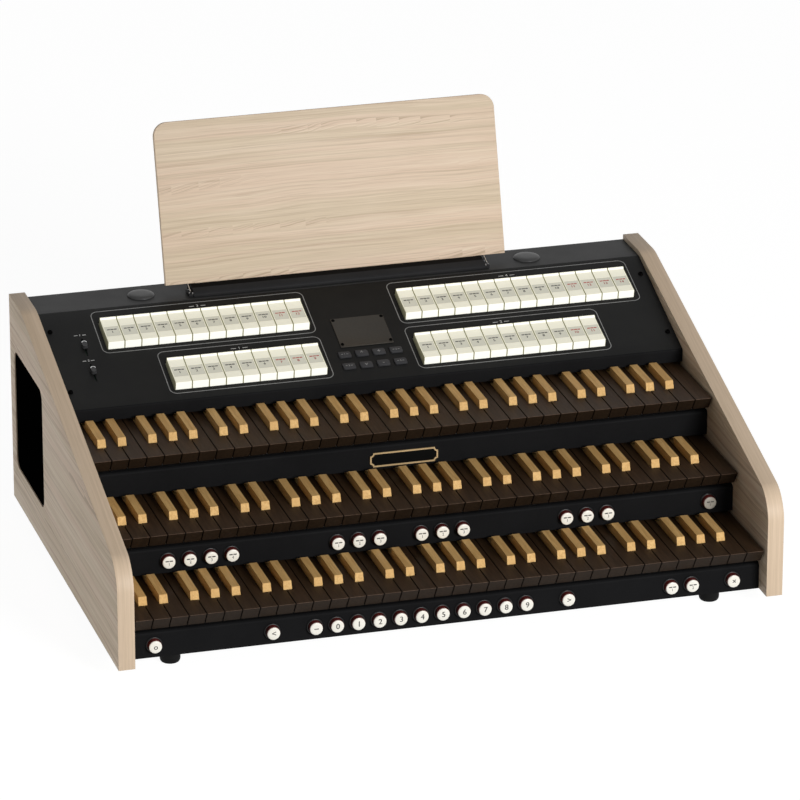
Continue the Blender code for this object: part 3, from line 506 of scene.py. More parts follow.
def level_corners(left, right, low, high, height=0.0):
    """The corners of a rectangle that lies flat."""
    return [(left, low, height), (right, low, height), (right, high, height), (left, high, height)]


def pull(bm, faces, way):
    """Extrude faces by a vector and return the moved points."""
    edges = list(dict.fromkeys(edge for face in faces for edge in face.edges))
    made = bmesh.ops.extrude_face_region(bm, geom=list(faces) + edges)["geom"]
    moved = [g for g in made if isinstance(g, bmesh.types.BMVert)]
    bmesh.ops.translate(bm, vec=way, verts=moved)
    return moved


def outward(bm):
    bmesh.ops.recalc_face_normals(bm, faces=bm.faces)


def cut(bm, axis, value, faces=None):
    """Mark a line across some faces, or across all, where one coordinate has a value."""
    parts = bm.verts[:] + bm.edges[:] + bm.faces[:]
    if faces:
        parts = list(dict.fromkeys(g for face in faces for g in (face, *face.edges, *face.verts)))
    across = Vector([1.0 if i == axis else 0.0 for i in range(3)])
    made = bmesh.ops.bisect_plane(bm, geom=parts, plane_co=across * value, plane_no=across)
    return [g for g in made["geom"] if isinstance(g, bmesh.types.BMFace)]


def crisp(bm, least=30.0):
    """Edges where two faces meet at more than that many degrees."""
    edges = [e for e in bm.edges if len(e.link_faces) == 2]
    return [e for e in edges if e.calc_face_angle(0.0) > math.radians(least)]


def ease(bm, edges, width, steps=2):
    bmesh.ops.bevel(
        bm, geom=edges, offset=width, affect="EDGES", segments=steps, profile=0.5, material=-1,
        clamp_overlap=True,
    )


def box_between(bm, low, high):
    """A cube stretched between two corners."""
    low, high = Vector(low), Vector(high)
    place = Matrix.Translation((low + high) / 2) @ Matrix.Diagonal((*(high - low), 1.0))
    return bmesh.ops.create_cube(bm, size=1.0, matrix=place)["verts"]


def colour_faces(bm, choose):
    """Choose the finish of each face by a rule that knows its middle and its normal."""
    for face in bm.faces:
        face.material_index = int(choose(face.calc_center_median(), face.normal))


# %% [markdown]
# A turned part is a profile of radius and height that spins once round the Z axis. The
# points on the axis fall together, so they are merged before the normals are set.


# %% Turned parts, and the keeping of a finished piece
def turned(profile, steps=32):
    """A new part: radius and height pairs in mm, spun round Z and closed at the poles."""
    bm = bmesh.new()
    verts = [bm.verts.new((r * MM, 0.0, h * MM)) for r, h in profile]
    edges = [bm.edges.new(pair) for pair in zip(verts, verts[1:])]
    bmesh.ops.spin(
        bm, geom=verts + edges, axis=(0, 0, 1), angle=2 * math.pi, steps=steps, use_merge=True)
    bmesh.ops.remove_doubles(bm, verts=bm.verts, dist=1e-6)
    outward(bm)
    return bm


def add_part(bm, part, matrix):
    """Move another bmesh into this one, placed by a matrix."""
    mesh = bpy.data.meshes.new("part")
    part.to_mesh(mesh)
    part.free()
    mesh.transform(matrix)
    bm.from_mesh(mesh)
    bpy.data.meshes.remove(mesh)


def keep(bm, name, body, finishes, replaces=(), smooth=16.0):
    """Turn a bmesh into a piece that rides on a body."""
    mesh = bpy.data.meshes.new(name)
    bm.to_mesh(mesh)
    bm.free()
    for finish in finishes:
        mesh.materials.append(finish)
    mesh.shade_smooth()
    mesh.set_sharp_from_angle(angle=math.radians(smooth))
    piece = bpy.data.objects.new(name, mesh)
    bpy.context.scene.collection.objects.link(piece)
    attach(piece, body)
    if replaces:
        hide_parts(*replaces)
    return piece


def dress(node, finish):
    """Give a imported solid, whose shape is right, its finish."""
    slots = nodes[node].data.materials
    slots.clear()
    slots.append(finish)


# %% [markdown]
# ## Where things are
#
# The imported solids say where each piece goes. The stop panel is a slope, so it gets its
# own small frame: u to the right, t up the slope from its front fold, h out of it.

# %% The frame of the stop panel
panel_low, panel_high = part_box("stop_panel")
LIP_H = 17.7 * MM
REAR_H = 18.9 * MM
FOLD = Vector((0.0, panel_low.y, panel_low.z + LIP_H))
SLOPE = math.atan2(panel_high.z - FOLD.z, panel_high.y - FOLD.y)
PANEL_LONG = (panel_high.y - FOLD.y) / math.cos(SLOPE)
on_panel = Matrix.Translation(FOLD) @ Matrix.Rotation(SLOPE, 4, "X")
print("slope in degrees:", round(math.degrees(SLOPE), 2), "length:", round(PANEL_LONG, 4))

# %% [markdown]
# ## Side cheeks
#
# Each cheek is a board with a sloping front and one large opening. Outline and opening are
# two faces in the plane of the board. Their faces go, their edges stay, and a triangle
# fill closes the ring between them. A face whose normal points along X by less than LEVEL
# belongs to the rim, and gets the edge band.

# %% Side cheeks
cheek_low, cheek_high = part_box("left_cheek")
CORNER_Z = 158.7 * MM
CHEEK_RISE = 0.2843
NOSE_ROUND, BEND_ROUND, OPENING_ROUND = 45.0 * MM, 60.0 * MM, 15.0 * MM
OPENING = 169.0 * MM
OPENING_BACK = 26.0 * MM
OPENING_Z = 74.0 * MM
LEVEL = 0.98


def reach_for(radius, angle):
    """How far from a corner of that many degrees a round of that radius starts."""
    return radius / math.tan(math.radians(angle / 2))


def cheek_board(x0, x1):
    bm = bmesh.new()
    y0, y1, z0, z1 = cheek_low.y, cheek_high.y, cheek_low.z, cheek_high.z
    nose, bend = (x0, y0, CORNER_Z), (x0, y0 + (z1 - CORNER_Z) / CHEEK_RISE, z1)
    face_through(bm, [(x0, y0, z0), nose, bend, (x0, y1, z1), (x0, y1, z0)])
    slope = math.degrees(math.atan(CHEEK_RISE))
    round_corner(bm, nose, reach_for(NOSE_ROUND, 90 + slope), 20)
    round_corner(bm, bend, reach_for(BEND_ROUND, 180 - slope), 8)
    a, b = y1 - OPENING_BACK - OPENING, y1 - OPENING_BACK
    c, d = OPENING_Z, OPENING_Z + OPENING
    rounded_face(bm, [(x0, a, c), (x0, b, c), (x0, b, d), (x0, a, d)], [OPENING_ROUND] * 4, 10)
    bmesh.ops.delete(bm, geom=bm.faces[:], context="FACES_ONLY")
    bmesh.ops.triangle_fill(bm, use_beauty=True, edges=bm.edges[:])
    pull(bm, bm.faces[:], (x1 - x0, 0, 0))
    outward(bm)
    ease(bm, crisp(bm, 60.0), 1.2 * MM, 3)
    colour_faces(bm, lambda at, normal: abs(normal.x) <= LEVEL)
    return bm


for side in ("left", "right"):
    low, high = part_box(side + "_cheek")
    board = cheek_board(low.x, high.x)
    keep(board, side + "_cheek_board", "console", (oak_cheek, oak_cheek_band),
         (side + "_cheek",))
    dress(side + "_grille", black_cloth)

# %% [markdown]
# ## Music desk
#
# The desk is a thin board that leans back and stands in a groove of its ledge. The board
# is one face with two rounded top corners. A tongue below it goes into the groove.

# %% Music desk
desk_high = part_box("music_desk")[1]
DESK_LEAN = math.radians(16.0)
DESK_T = 8.0 * MM
DESK_H = 220.6 * MM
DESK_ROUND = 19.0 * MM
TONGUE = 8.0 * MM
TONGUE_IN = 1.5 * MM
TONGUE_HALF = 198.0 * MM
desk_foot = Vector((0.0, desk_high.y - DESK_T * math.cos(DESK_LEAN) - DESK_H * math.sin(DESK_LEAN),
                    desk_high.z - DESK_H * math.cos(DESK_LEAN)))
on_desk = Matrix.Translation(desk_foot) @ Matrix.Rotation(-DESK_LEAN, 4, "X")

board = bmesh.new()
half = desk_high.x
tops = [(half, 0, DESK_H), (-half, 0, DESK_H)]
face_through(board, [(-half, 0, 0), (half, 0, 0), *tops])
for corner in tops:
    round_corner(board, corner, DESK_ROUND, 14)
pull(board, board.faces[:], (0, DESK_T, 0))
outward(board)
ease(board, crisp(board, 60.0), 0.8 * MM, 3)
colour_faces(board, lambda at, normal: abs(normal.y) <= LEVEL)
box_between(board, (-TONGUE_HALF, TONGUE_IN, -TONGUE), (TONGUE_HALF, DESK_T - TONGUE_IN, 0.5 * MM))
board.transform(on_desk)
keep(board, "music_desk_board", "music_desk", (oak_desk, oak_desk_band),
     ("music_desk",))
print("desk foot:", [round(c, 4) for c in desk_foot])

# %% [markdown]
# ## Naturals
#
# A natural is wide at the front, where the finger lands, and narrow behind, where it
# passes between the sharps. Its front face is cut back under the edge. It starts as a
# cube, the head. A cut marks off the strip below which the lip hangs, and the back face is
# pulled out twice: once to step in to the tail's width, once to its length.

# %% The plan of a keyboard
NATURALS = 36
naturals_low, naturals_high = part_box("naturals_one")
KEY_PITCH = (naturals_high.x - naturals_low.x) / NATURALS
KEY_SPACE = 1.2 * MM
KEY_T = 7.2 * MM
KEY_L = 205.0 * MM
HEAD_L = 47.4 * MM
LIP_DROP = 18.5 * MM
LIP_LEAN = 13.2 * MM
LIP_END = 18.2 * MM
SHARP_W = 11.6 * MM
OCTAVE = 164.5
SHARP_AT = [middle / OCTAVE for middle in (21.5, 49.0, 90.0, 117.5, 145.0)]
SHARP_SHIFT = 0.4 * MM
EDGE_HIGHLIGHT_REACH = 0.8 * MM
sharp_middles = [
    7 * KEY_PITCH * (octave + place) + SHARP_SHIFT for octave in range(5) for place in SHARP_AT
]
print("key pitch in mm:", round(KEY_PITCH / MM, 3), "sharps:", len(sharp_middles))


# %% One natural
def tail_edge(line, side):
    """Where the tail of a natural ends, on one side of the line between two keys."""
    near = [m for m in sharp_middles if abs(m - line) < SHARP_W / 2]
    if near:
        return near[0] + side * (SHARP_W / 2 + KEY_SPACE)
    return line + side * KEY_SPACE / 2


def natural_finish(at, normal):
    """Sides in painted shade, a painted highlight on the front edge, a front in painted shade, and
    the top for the rest.
    """
    if abs(normal.x) > 0.9:
        return 2
    if at.y < EDGE_HIGHLIGHT_REACH and abs(at.z) < EDGE_HIGHLIGHT_REACH:
        return 1
    return 3 if normal.y < -0.5 else 0


def natural_key(index):
    """One natural, counted from the left, with its front top edge on the X axis."""
    bm = bmesh.new()
    a, b = index * KEY_PITCH, (index + 1) * KEY_PITCH
    left = a if index == 0 else a + KEY_SPACE / 2
    right = b if index == NATURALS - 1 else b - KEY_SPACE / 2
    box_between(bm, (left, 0, -KEY_T), (right, HEAD_L, 0))
    cut(bm, 1, LIP_END)
    under = [f for f in bm.faces if f.normal.z < -0.9 and f.calc_center_median().y < LIP_END]
    pull(bm, under, (0, 0, KEY_T - LIP_DROP))
    for vert in bm.verts:
        if vert.co.y < 1e-6:
            vert.co.y = -vert.co.z * LIP_LEAN / LIP_DROP
    rear = [f for f in bm.faces if f.normal.y > 0.9 and f.calc_center_median().y > HEAD_L - MM]
    tail_left = left if index == 0 else tail_edge(a, 1)
    tail_right = right if index == NATURALS - 1 else tail_edge(b, -1)
    moved = pull(bm, rear, (0, 0, 0))
    for vert in moved:
        vert.co.x = tail_left if vert.co.x < (a + b) / 2 else tail_right
    rear = [f for f in bm.faces if all(v in moved for v in f.verts)]
    pull(bm, rear, (0, KEY_L - HEAD_L, 0))
    bmesh.ops.remove_doubles(bm, verts=bm.verts, dist=1e-6)
    outward(bm)
    ease(bm, crisp(bm), 0.55 * MM, 2)
    colour_faces(bm, natural_finish)
    return bm


# %% [markdown]
# ## Sharps
#
# A sharp is a block that narrows to its top and leans back at the front. Below the level
# of the naturals it goes on as a plain lever to the pivot.


# %% One sharp
SHARP_FROM = 48.6 * MM
SHARP_TO = 123.6 * MM
SHARP_H = 9.8 * MM
SHARP_NARROW = 0.4 * MM
SHARP_LEAN = 5.0 * MM
LEVER_SHORT = 12.0 * MM


def sharp_key(middle):
    bm = bmesh.new()
    w = SHARP_W / 2
    box_between(bm, (middle - w, SHARP_FROM, -KEY_T), (middle + w, SHARP_TO, SHARP_H))
    cut(bm, 2, 0.0)
    for vert in bm.verts:
        if vert.co.z > SHARP_H - MM:
            vert.co.x += SHARP_NARROW if vert.co.x < middle else -SHARP_NARROW
        if vert.co.y < SHARP_FROM + MM:
            vert.co.y += SHARP_LEAN * (vert.co.z + KEY_T) / (SHARP_H + KEY_T)
    rear = [f for f in bm.faces if f.normal.y > 0.9 and f.calc_center_median().z < 0]
    pull(bm, rear, (0, KEY_L - LEVER_SHORT - SHARP_TO, 0))
    outward(bm)
    ease(bm, crisp(bm), 0.3 * MM, 2)
    return bm


# %% [markdown]
# Three manuals share the same keys. They differ only in where they stand.

# %% All keys of the three manuals
for manual in ("one", "two", "three"):
    low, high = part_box("naturals_" + manual)
    place = shift(low.x, low.y, high.z)
    for index in range(NATURALS):
        key = natural_key(index)
        key.transform(place)
        keep(key, f"natural_{manual}_{index + 1:02d}", "naturals_" + manual,
             (dark_wood, edge_highlight_wood, side_shade_wood, front_shade_wood),
             ("naturals_" + manual,))
    for index, middle in enumerate(sharp_middles):
        key = sharp_key(middle)
        key.transform(place)
        keep(key, f"sharp_{manual}_{index + 1:02d}", "sharps_" + manual, (tan_wood,),
             ("sharps_" + manual,))
print("keys:", 3 * (NATURALS + len(sharp_middles)))

# %% [markdown]
# ## Stop panel
#
# The panel is one bent sheet. It starts as a flat face, cuts mark the edges of every
# opening, and the faces inside the openings go. The front edge and the rear edge are then
# pulled down, both folds are rounded, and solidify gives the sheet its thickness.
#
# Each row of tabs is written as its left edge, its number of tabs, its front edge, and how
# many of its last tabs have red print.

# %% What lies on the stop panel
TAB_PITCH = 23.28 * MM
TAB_SPACE = 0.7 * MM
TAB_D = 56.0 * MM
ROW_INNER = 66.9 * MM
UPPER_T, LOWER_T = 119.0 * MM, 23.4 * MM
rows = {
    "upper_left": (-ROW_INNER - 12 * TAB_PITCH, 12, UPPER_T, 2),
    "lower_left": (-ROW_INNER - 9 * TAB_PITCH, 9, LOWER_T, 3),
    "upper_right": (ROW_INNER, 14, UPPER_T, 4),
    "lower_right": (ROW_INNER, 11, LOWER_T, 2),
}
TAB_ROOM = 1.2 * MM
DISPLAY_AT = (1.0 * MM, 103.0 * MM)
DISPLAY_W, DISPLAY_D = 71.0 * MM, 59.1 * MM
MENU_PITCH, MENU_W, MENU_D = 23.83 * MM, 17.2 * MM, 11.4 * MM
MENU_T = (57.3 * MM, 33.3 * MM)
menu_places = [(DISPLAY_AT[0] + (i - 1.5) * MENU_PITCH, t) for t in MENU_T for i in range(4)]
SLIDER_X = -376.4 * MM
SLOT_L, SLOT_W = 34.6 * MM, 2.4 * MM
slot_middles = {"reverb": 126.9 * MM, "volume": 73.3 * MM}


# %% Openings of the panel
def opening(u, t, wide, deep, room=0.0):
    """Left, right, low and high edge of an opening round a middle, in the panel's frame."""
    w, d = wide / 2 + room, deep / 2 + room
    return u - w, u + w, t - d, t + d


holes = [opening(u + n * TAB_PITCH / 2, t + TAB_D / 2, n * TAB_PITCH, TAB_D, TAB_ROOM)
         for u, n, t, _ in rows.values()]
holes.append(opening(*DISPLAY_AT, DISPLAY_W, DISPLAY_D, 0.3 * MM))
holes += [opening(u, t, MENU_W, MENU_D, 0.5 * MM) for u, t in menu_places]
holes += [opening(SLIDER_X, t + 0.5 * MM, SLOT_W, SLOT_L + MM) for t in slot_middles.values()]

# %% The bent sheet of the stop panel
SHEET_T = 2.0 * MM
FOLD_ROUND = 2.1 * MM
SHADED_LIP_T = 1.6 * MM
sheet = bmesh.new()
half = panel_high.x
long = PANEL_LONG
face_through(sheet, level_corners(-half, half, 0, long))
for axis in (0, 1):
    edges = {round(edge, 6) for hole in holes for edge in hole[2 * axis:2 * axis + 2]}
    for value in sorted(edges):
        cut(sheet, axis, value)
inside = []
for face in sheet.faces:
    x, y, _ = face.calc_center_median()
    if any(a < x < b and c < y < d for a, b, c, d in holes):
        inside.append(face)
bmesh.ops.delete(sheet, geom=inside, context="FACES")
down = Vector((0.0, -math.sin(SLOPE), -math.cos(SLOPE)))
for at, depth in ((0.0, LIP_H), (long, REAR_H)):
    rim = [e for e in sheet.edges if all(abs(v.co.y - at) < 1e-6 for v in e.verts)]
    made = bmesh.ops.extrude_edge_only(sheet, edges=rim)["geom"]
    moved = [g for g in made if isinstance(g, bmesh.types.BMVert)]
    bmesh.ops.translate(sheet, vec=down * depth, verts=moved)
outward(sheet)
print("panel faces:", len(sheet.faces), "holes:", len(holes))

# %% Folds and thickness of the panel
folds = [e for e in crisp(sheet, 45.0) if all(abs(v.co.z) < 1e-6 for v in e.verts)]
ease(sheet, folds, FOLD_ROUND, 6)
outward(sheet)
if sum(face.normal.z * face.calc_area() for face in sheet.faces) < 0:
    bmesh.ops.reverse_faces(sheet, faces=sheet.faces)
bmesh.ops.solidify(sheet, geom=sheet.faces[:], thickness=SHEET_T)
# The front lip and its fold take the darker rail paint: painted shade, which also hides the
# highlight on the fold.
colour_faces(sheet, lambda at, normal: at.y < SHADED_LIP_T)
sheet.transform(on_panel)
panel = keep(
    sheet, "stop_panel_sheet", "console", (panel_paint, rail_paint_and_lip_shade), ("stop_panel",), 30.0)
low, high = (panel.bound_box[i] for i in (0, 6))
print("panel box:", [round(c, 4) for c in low], [round(c, 4) for c in high])

# %% [markdown]
# ## Stop tabs
#
# A tab is a rocker of ivory plastic. Its side view gives the shape: a front face that leans
# back, a top that falls a little to the rear, and a raised bar behind. One face through the
# side view is pulled to the width of the tab. The grey label window is marked off by four
# cuts and sunk by a tenth of a millimetre.

# %% One stop tab
TAB_SIDE = (
    (0.0, -5.0), (56.0, -5.0), (56.0, 8.4), (54.4, 9.2), (52.0, 7.0), (28.0, 7.6), (2.2, 9.3),
)
LABEL_T = (15.2 * MM, 37.4 * MM)
LABEL_W = 19.4 * MM
LARGE = 200.0 * MM * MM


def stop_tab():
    """A tab with its middle on the YZ plane and its front foot at the origin."""
    bm = bmesh.new()
    w = (TAB_PITCH - TAB_SPACE) / 2
    side = face_through(bm, [(-w, t * MM, h * MM) for t, h in TAB_SIDE])
    pull(bm, [side], (2 * w, 0, 0))
    outward(bm)
    ease(bm, crisp(bm, 20.0), 0.5 * MM, 2)
    top = [f for f in bm.faces if f.normal.z > LEVEL and f.calc_area() > LARGE]
    for axis, value in ((0, -LABEL_W / 2), (0, LABEL_W / 2), (1, LABEL_T[0]), (1, LABEL_T[1])):
        top = cut(bm, axis, value, top)
    label = [f for f in bm.faces if f.normal.z > LEVEL
             and abs(f.calc_center_median().x) < LABEL_W / 2 - MM
             and LABEL_T[0] < f.calc_center_median().y < LABEL_T[1]]
    bmesh.ops.inset_region(
        bm, faces=label, thickness=0.2 * MM, depth=-0.12 * MM, use_even_offset=True)
    # Sides and the narrow rounds between tabs take the darker side copy, partly painted shade; the
    # fronts take the paler copy, a painted highlight.
    colour_faces(bm, lambda at, normal: 2 if abs(normal.x) > 0.3 else 3 * (normal.y < -0.5))
    for face in label:
        face.material_index = 1
    return bm


# %% [markdown]
# Each label holds a plain number with three short rules above, in dark grey, and in red on
# the last tabs of a row. Text is made as a curve, turned into a mesh and laid on the label,
# twice with a small shift, which makes the strokes bolder. Sizes of print are in mm.


# %% Printed marks
INK = 0.03


def print_text(bm, words, size, matrix):
    """Raised print of some characters, centred on the matrix."""
    curve = bpy.data.curves.new("print", "FONT")
    curve.body = words
    curve.size = size * MM
    curve.align_x = "CENTER"
    curve.align_y = "CENTER"
    curve.resolution_u = 3
    curve.extrude = INK * MM
    carrier = bpy.data.objects.new("print", curve)
    bpy.context.scene.collection.objects.link(carrier)
    depsgraph = bpy.context.evaluated_depsgraph_get()
    mesh = bpy.data.meshes.new_from_object(carrier.evaluated_get(depsgraph))
    bpy.data.objects.remove(carrier, do_unlink=True)
    mesh.transform(matrix)
    bm.from_mesh(mesh)
    bpy.data.meshes.remove(mesh)


def print_rule(bm, wide, high, matrix):
    """A short printed line, centred on the matrix."""
    corner = Vector((wide / 2, high / 2, INK)) * MM
    verts = box_between(bm, -corner, corner)
    bmesh.ops.transform(bm, matrix=matrix, verts=verts)


def print_pair(bm, wide, high, away, matrix):
    """Two short printed lines, left and right of a middle."""
    for side in (-1, 1):
        print_rule(bm, wide, high, matrix @ shift(side * away * MM, 0))


# %% All stop tabs with their labels
TOP_FALL = math.radians(3.77)
LABEL_MIDDLE = (27.0 * MM, 7.68 * MM)
for row, (u, count, t, red) in rows.items():
    body = "tabs_" + row
    marks = {print_dark: bmesh.new(), print_red: bmesh.new()}
    for index in range(count):
        foot = on_panel @ shift(u + (index + 0.5) * TAB_PITCH, t)
        tab = stop_tab()
        tab.transform(foot)
        keep(tab, f"tab_{row}_{index + 1:02d}", body, (ivory, tab_label, shaded_tab_side, lit_ivory_front),
             (body,))
        ink = marks[print_red if index >= count - red else print_dark]
        label = foot @ shift(0, *LABEL_MIDDLE) @ Matrix.Rotation(-TOP_FALL, 4, "X")
        for x, wide in ((-4.6, 4.0), (0.2, 4.4), (4.8, 3.6)):
            print_rule(ink, wide, 1.9, label @ shift(x * MM, 3.4 * MM))
        for x in (-0.12, 0.12):
            print_text(ink, str(index + 1), 6.4, label @ shift(x * MM, -2.4 * MM))
    keep(marks[print_dark], f"print_{row}", body, (print_dark,))
    keep(marks[print_red], f"print_{row}_red", body, (print_red,))
print("tabs:", sum(count for _, count, _, _ in rows.values()))

# %% [markdown]
# ## Print on the panel
#
# A thin grey line runs round each row of tabs, with a plain number inside it for the
# division. A line is a face with rounded corners: inset by the line's width, and the
# middle goes.

# %% Lines and numbers on the panel
FRAME_ROOM = 8.0 * MM
FRAME_LOW, FRAME_HIGH, NUMBER_T = -9.0 * MM, 79.0 * MM, 70.5 * MM
LINE_W, LINE_ROUND, LINE_H = 1.0 * MM, 10.0 * MM, 0.08 * MM
ABOVE_SLOT = 25.5 * MM
lines, numbers = bmesh.new(), bmesh.new()
for number, (u, count, t, _) in zip("3142", rows.values()):
    frame_line = bmesh.new()
    a, b = u - FRAME_ROOM, u + count * TAB_PITCH + FRAME_ROOM
    corners = level_corners(a, b, t + FRAME_LOW, t + FRAME_HIGH)
    rounded_face(frame_line, corners, [LINE_ROUND] * 4, 8)
    whole = frame_line.faces[:]
    bmesh.ops.inset_region(
        frame_line, faces=whole, thickness=LINE_W, use_even_offset=True, use_boundary=True)
    bmesh.ops.delete(frame_line, geom=whole, context="FACES")
    pull(frame_line, frame_line.faces[:], (0, 0, LINE_H))
    outward(frame_line)
    add_part(lines, frame_line, on_panel @ shift(0, 0, 0.01 * MM))
    place = on_panel @ shift((a + b) / 2, t + NUMBER_T, 0.05 * MM)
    print_text(numbers, number, 7.0, place)
    print_pair(numbers, 7.0, 1.0, 8.0, place)
for number, t in zip("12", slot_middles.values()):
    place = on_panel @ shift(SLIDER_X - MM, t + ABOVE_SLOT, 0.05 * MM)
    print_text(numbers, number, 5.6, place)
    print_pair(numbers, 5.0, 1.0, 5.6, place)
keep(lines, "panel_lines", "console", (print_grey,))
keep(numbers, "panel_numbers", "console", (print_white,))

# %% [markdown]
# ## Display and menu buttons
#
# The display window is a dark plate with a flange round it that covers the edge of its
# opening. The buttons are raised heads of one rubber mat that lies below the panel. Two
# opposite corners of a head are cut off more than the others.

# %% Display window
FLANGE = (Vector((-36.8, -30.2, 0.05)) * MM, Vector((37.2, 30.0, 1.5)) * MM)
w, d = DISPLAY_W / 2, DISPLAY_D / 2
window = bmesh.new()
box_between(window, *FLANGE)
ease(window, crisp(window), 0.7 * MM, 3)
face = max(window.faces, key=lambda f: f.calc_center_median().z)
bmesh.ops.inset_region(window, faces=[face], thickness=1.0 * MM, depth=-0.2 * MM)
box_between(window, (-w, -d, -3.0 * MM), (w, d, 0.3 * MM))
window.transform(on_panel @ shift(*DISPLAY_AT))
keep(window, "display_window", "console", (display_plate,), ("display",))

# %% Menu button mat
HEAD_FOOT, HEAD_TALL = -3.0 * MM, 5.2 * MM
MAT_ROOM = 2.0 * MM
MAT_LOW, MAT_TOP = -3.5 * MM, -2.4 * MM
mat = bmesh.new()
for u, t in menu_places:
    head = bmesh.new()
    corners = level_corners(*opening(u, t, MENU_W, MENU_D), HEAD_FOOT)
    rounded_face(head, corners, [reach * MM for reach in (3.2, 1.4, 3.2, 1.4)], 4)
    pull(head, head.faces[:], (0, 0, HEAD_TALL))
    outward(head)
    rim = [e for e in crisp(head, 60.0) if all(v.co.z > 0 for v in e.verts)]
    ease(head, rim, 0.8 * MM, 3)
    add_part(mat, head, on_panel)
a, b = menu_places[0][0] - MENU_W / 2 - MAT_ROOM, menu_places[3][0] + MENU_W / 2 + MAT_ROOM
c, d = MENU_T[1] - MENU_D / 2 - MAT_ROOM, MENU_T[0] + MENU_D / 2 + MAT_ROOM
base = box_between(mat, (a, c, MAT_LOW), (b, d, MAT_TOP))
bmesh.ops.transform(mat, matrix=on_panel, verts=base)
keep(mat, "menu_button_mat", "menu_buttons", (button_rubber,), ("menu_buttons",))

# %% Marks on the menu buttons
marks = bmesh.new()
for (u, t), sign in zip(menu_places, "1^+23v-4"):
    place = on_panel @ shift(u, t, HEAD_FOOT + HEAD_TALL + 0.05 * MM)
    if sign.isdigit():
        print_pair(marks, 2.6, 0.9, 3.6, place)
    print_text(marks, sign, 5.0 if sign.isdigit() else 9.5, place)
keep(marks, "menu_marks", "menu_buttons", (print_grey,))

# %% [markdown]
# ## Sliders
#
# Each slider has a small grey cap with a hollow top for the fingertip, on a flat stem that
# passes through its slot. A bow of bright metal runs round the far half of the rim: a
# painted highlight, where the rim catches the light.

# %% Slider caps
CAP_HALF = Vector((4.0, 5.7, 2.3)) * MM
CAP_MIDDLE = Vector((0.0, 0.0, 3.3)) * MM
CAP_ROUND = 3.2 * MM
CAP_NARROW = 0.86
CAP_AHEAD = 1.6 * MM
STEM = (Vector((-0.8, -3.0, -4.0)) * MM, Vector((0.8, 3.0, 1.5)) * MM)
for name, t in slot_middles.items():
    cap = bmesh.new()
    for vert in box_between(cap, CAP_MIDDLE - CAP_HALF, CAP_MIDDLE + CAP_HALF):
        if vert.co.z > CAP_MIDDLE.z:
            vert.co.x *= CAP_NARROW
    ends = [e for e in cap.edges if abs(e.verts[0].co.z - e.verts[1].co.z) > CAP_HALF.z]
    ease(cap, ends, CAP_ROUND, 6)
    top = [f for f in cap.faces if f.normal.z > 0.9]
    rim = bmesh.ops.inset_region(cap, faces=top, thickness=0.8 * MM, use_even_offset=True)
    # The far half of the rim gets bright metal: a painted highlight.
    for face in rim["faces"]:
        face.material_index = int(face.calc_center_median().y > 1.0 * MM)
    bmesh.ops.inset_region(cap, faces=top, thickness=0.5 * MM, depth=-0.3 * MM)
    outward(cap)
    box_between(cap, *STEM)
    cap.transform(on_panel @ shift(SLIDER_X, t + CAP_AHEAD))
    keep(cap, name + "_slider_cap", name + "_knob", (cap_grey, bright_metal_and_rim_highlight),
         (name + "_knob",), 30.0)

# %% [markdown]
# ## Thumb pistons
#
# A piston is a short round button: a white face on a dark red body, in a black collar on
# the rail. It is turned from one profile, in mm from the rail's face, and the height decides
# which plastic a face gets.

# %% One piston and its collar
RAIL_T = 12.0
PISTON_BACK = -RAIL_T - 1.3
WHITE_FROM = 8.4
PISTON_SIDE = [
    (0, 10.0), (5.0, 9.95), (7.6, 9.8), (8.2, 9.5), (8.45, 9.0), (8.5, WHITE_FROM),
    (8.5, 8.3), (8.8, 8.0), (8.8, PISTON_BACK), (0, PISTON_BACK),
]
COLLAR_SIDE = [
    (9.15, -0.05), (9.15, 1.0), (9.6, 1.5), (10.4, 1.3), (10.9, 0.5), (10.9, -0.05), (9.15, -0.05),
]


def piston():
    """A piston along Z, with the rail's face at zero height."""
    bm = turned(PISTON_SIDE)
    colour_faces(bm, lambda at, normal: at.z <= WHITE_FROM * MM)
    return bm


# %% [markdown]
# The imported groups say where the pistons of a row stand. In a group, they are one pitch
# apart, and the table of signs says how many there are.

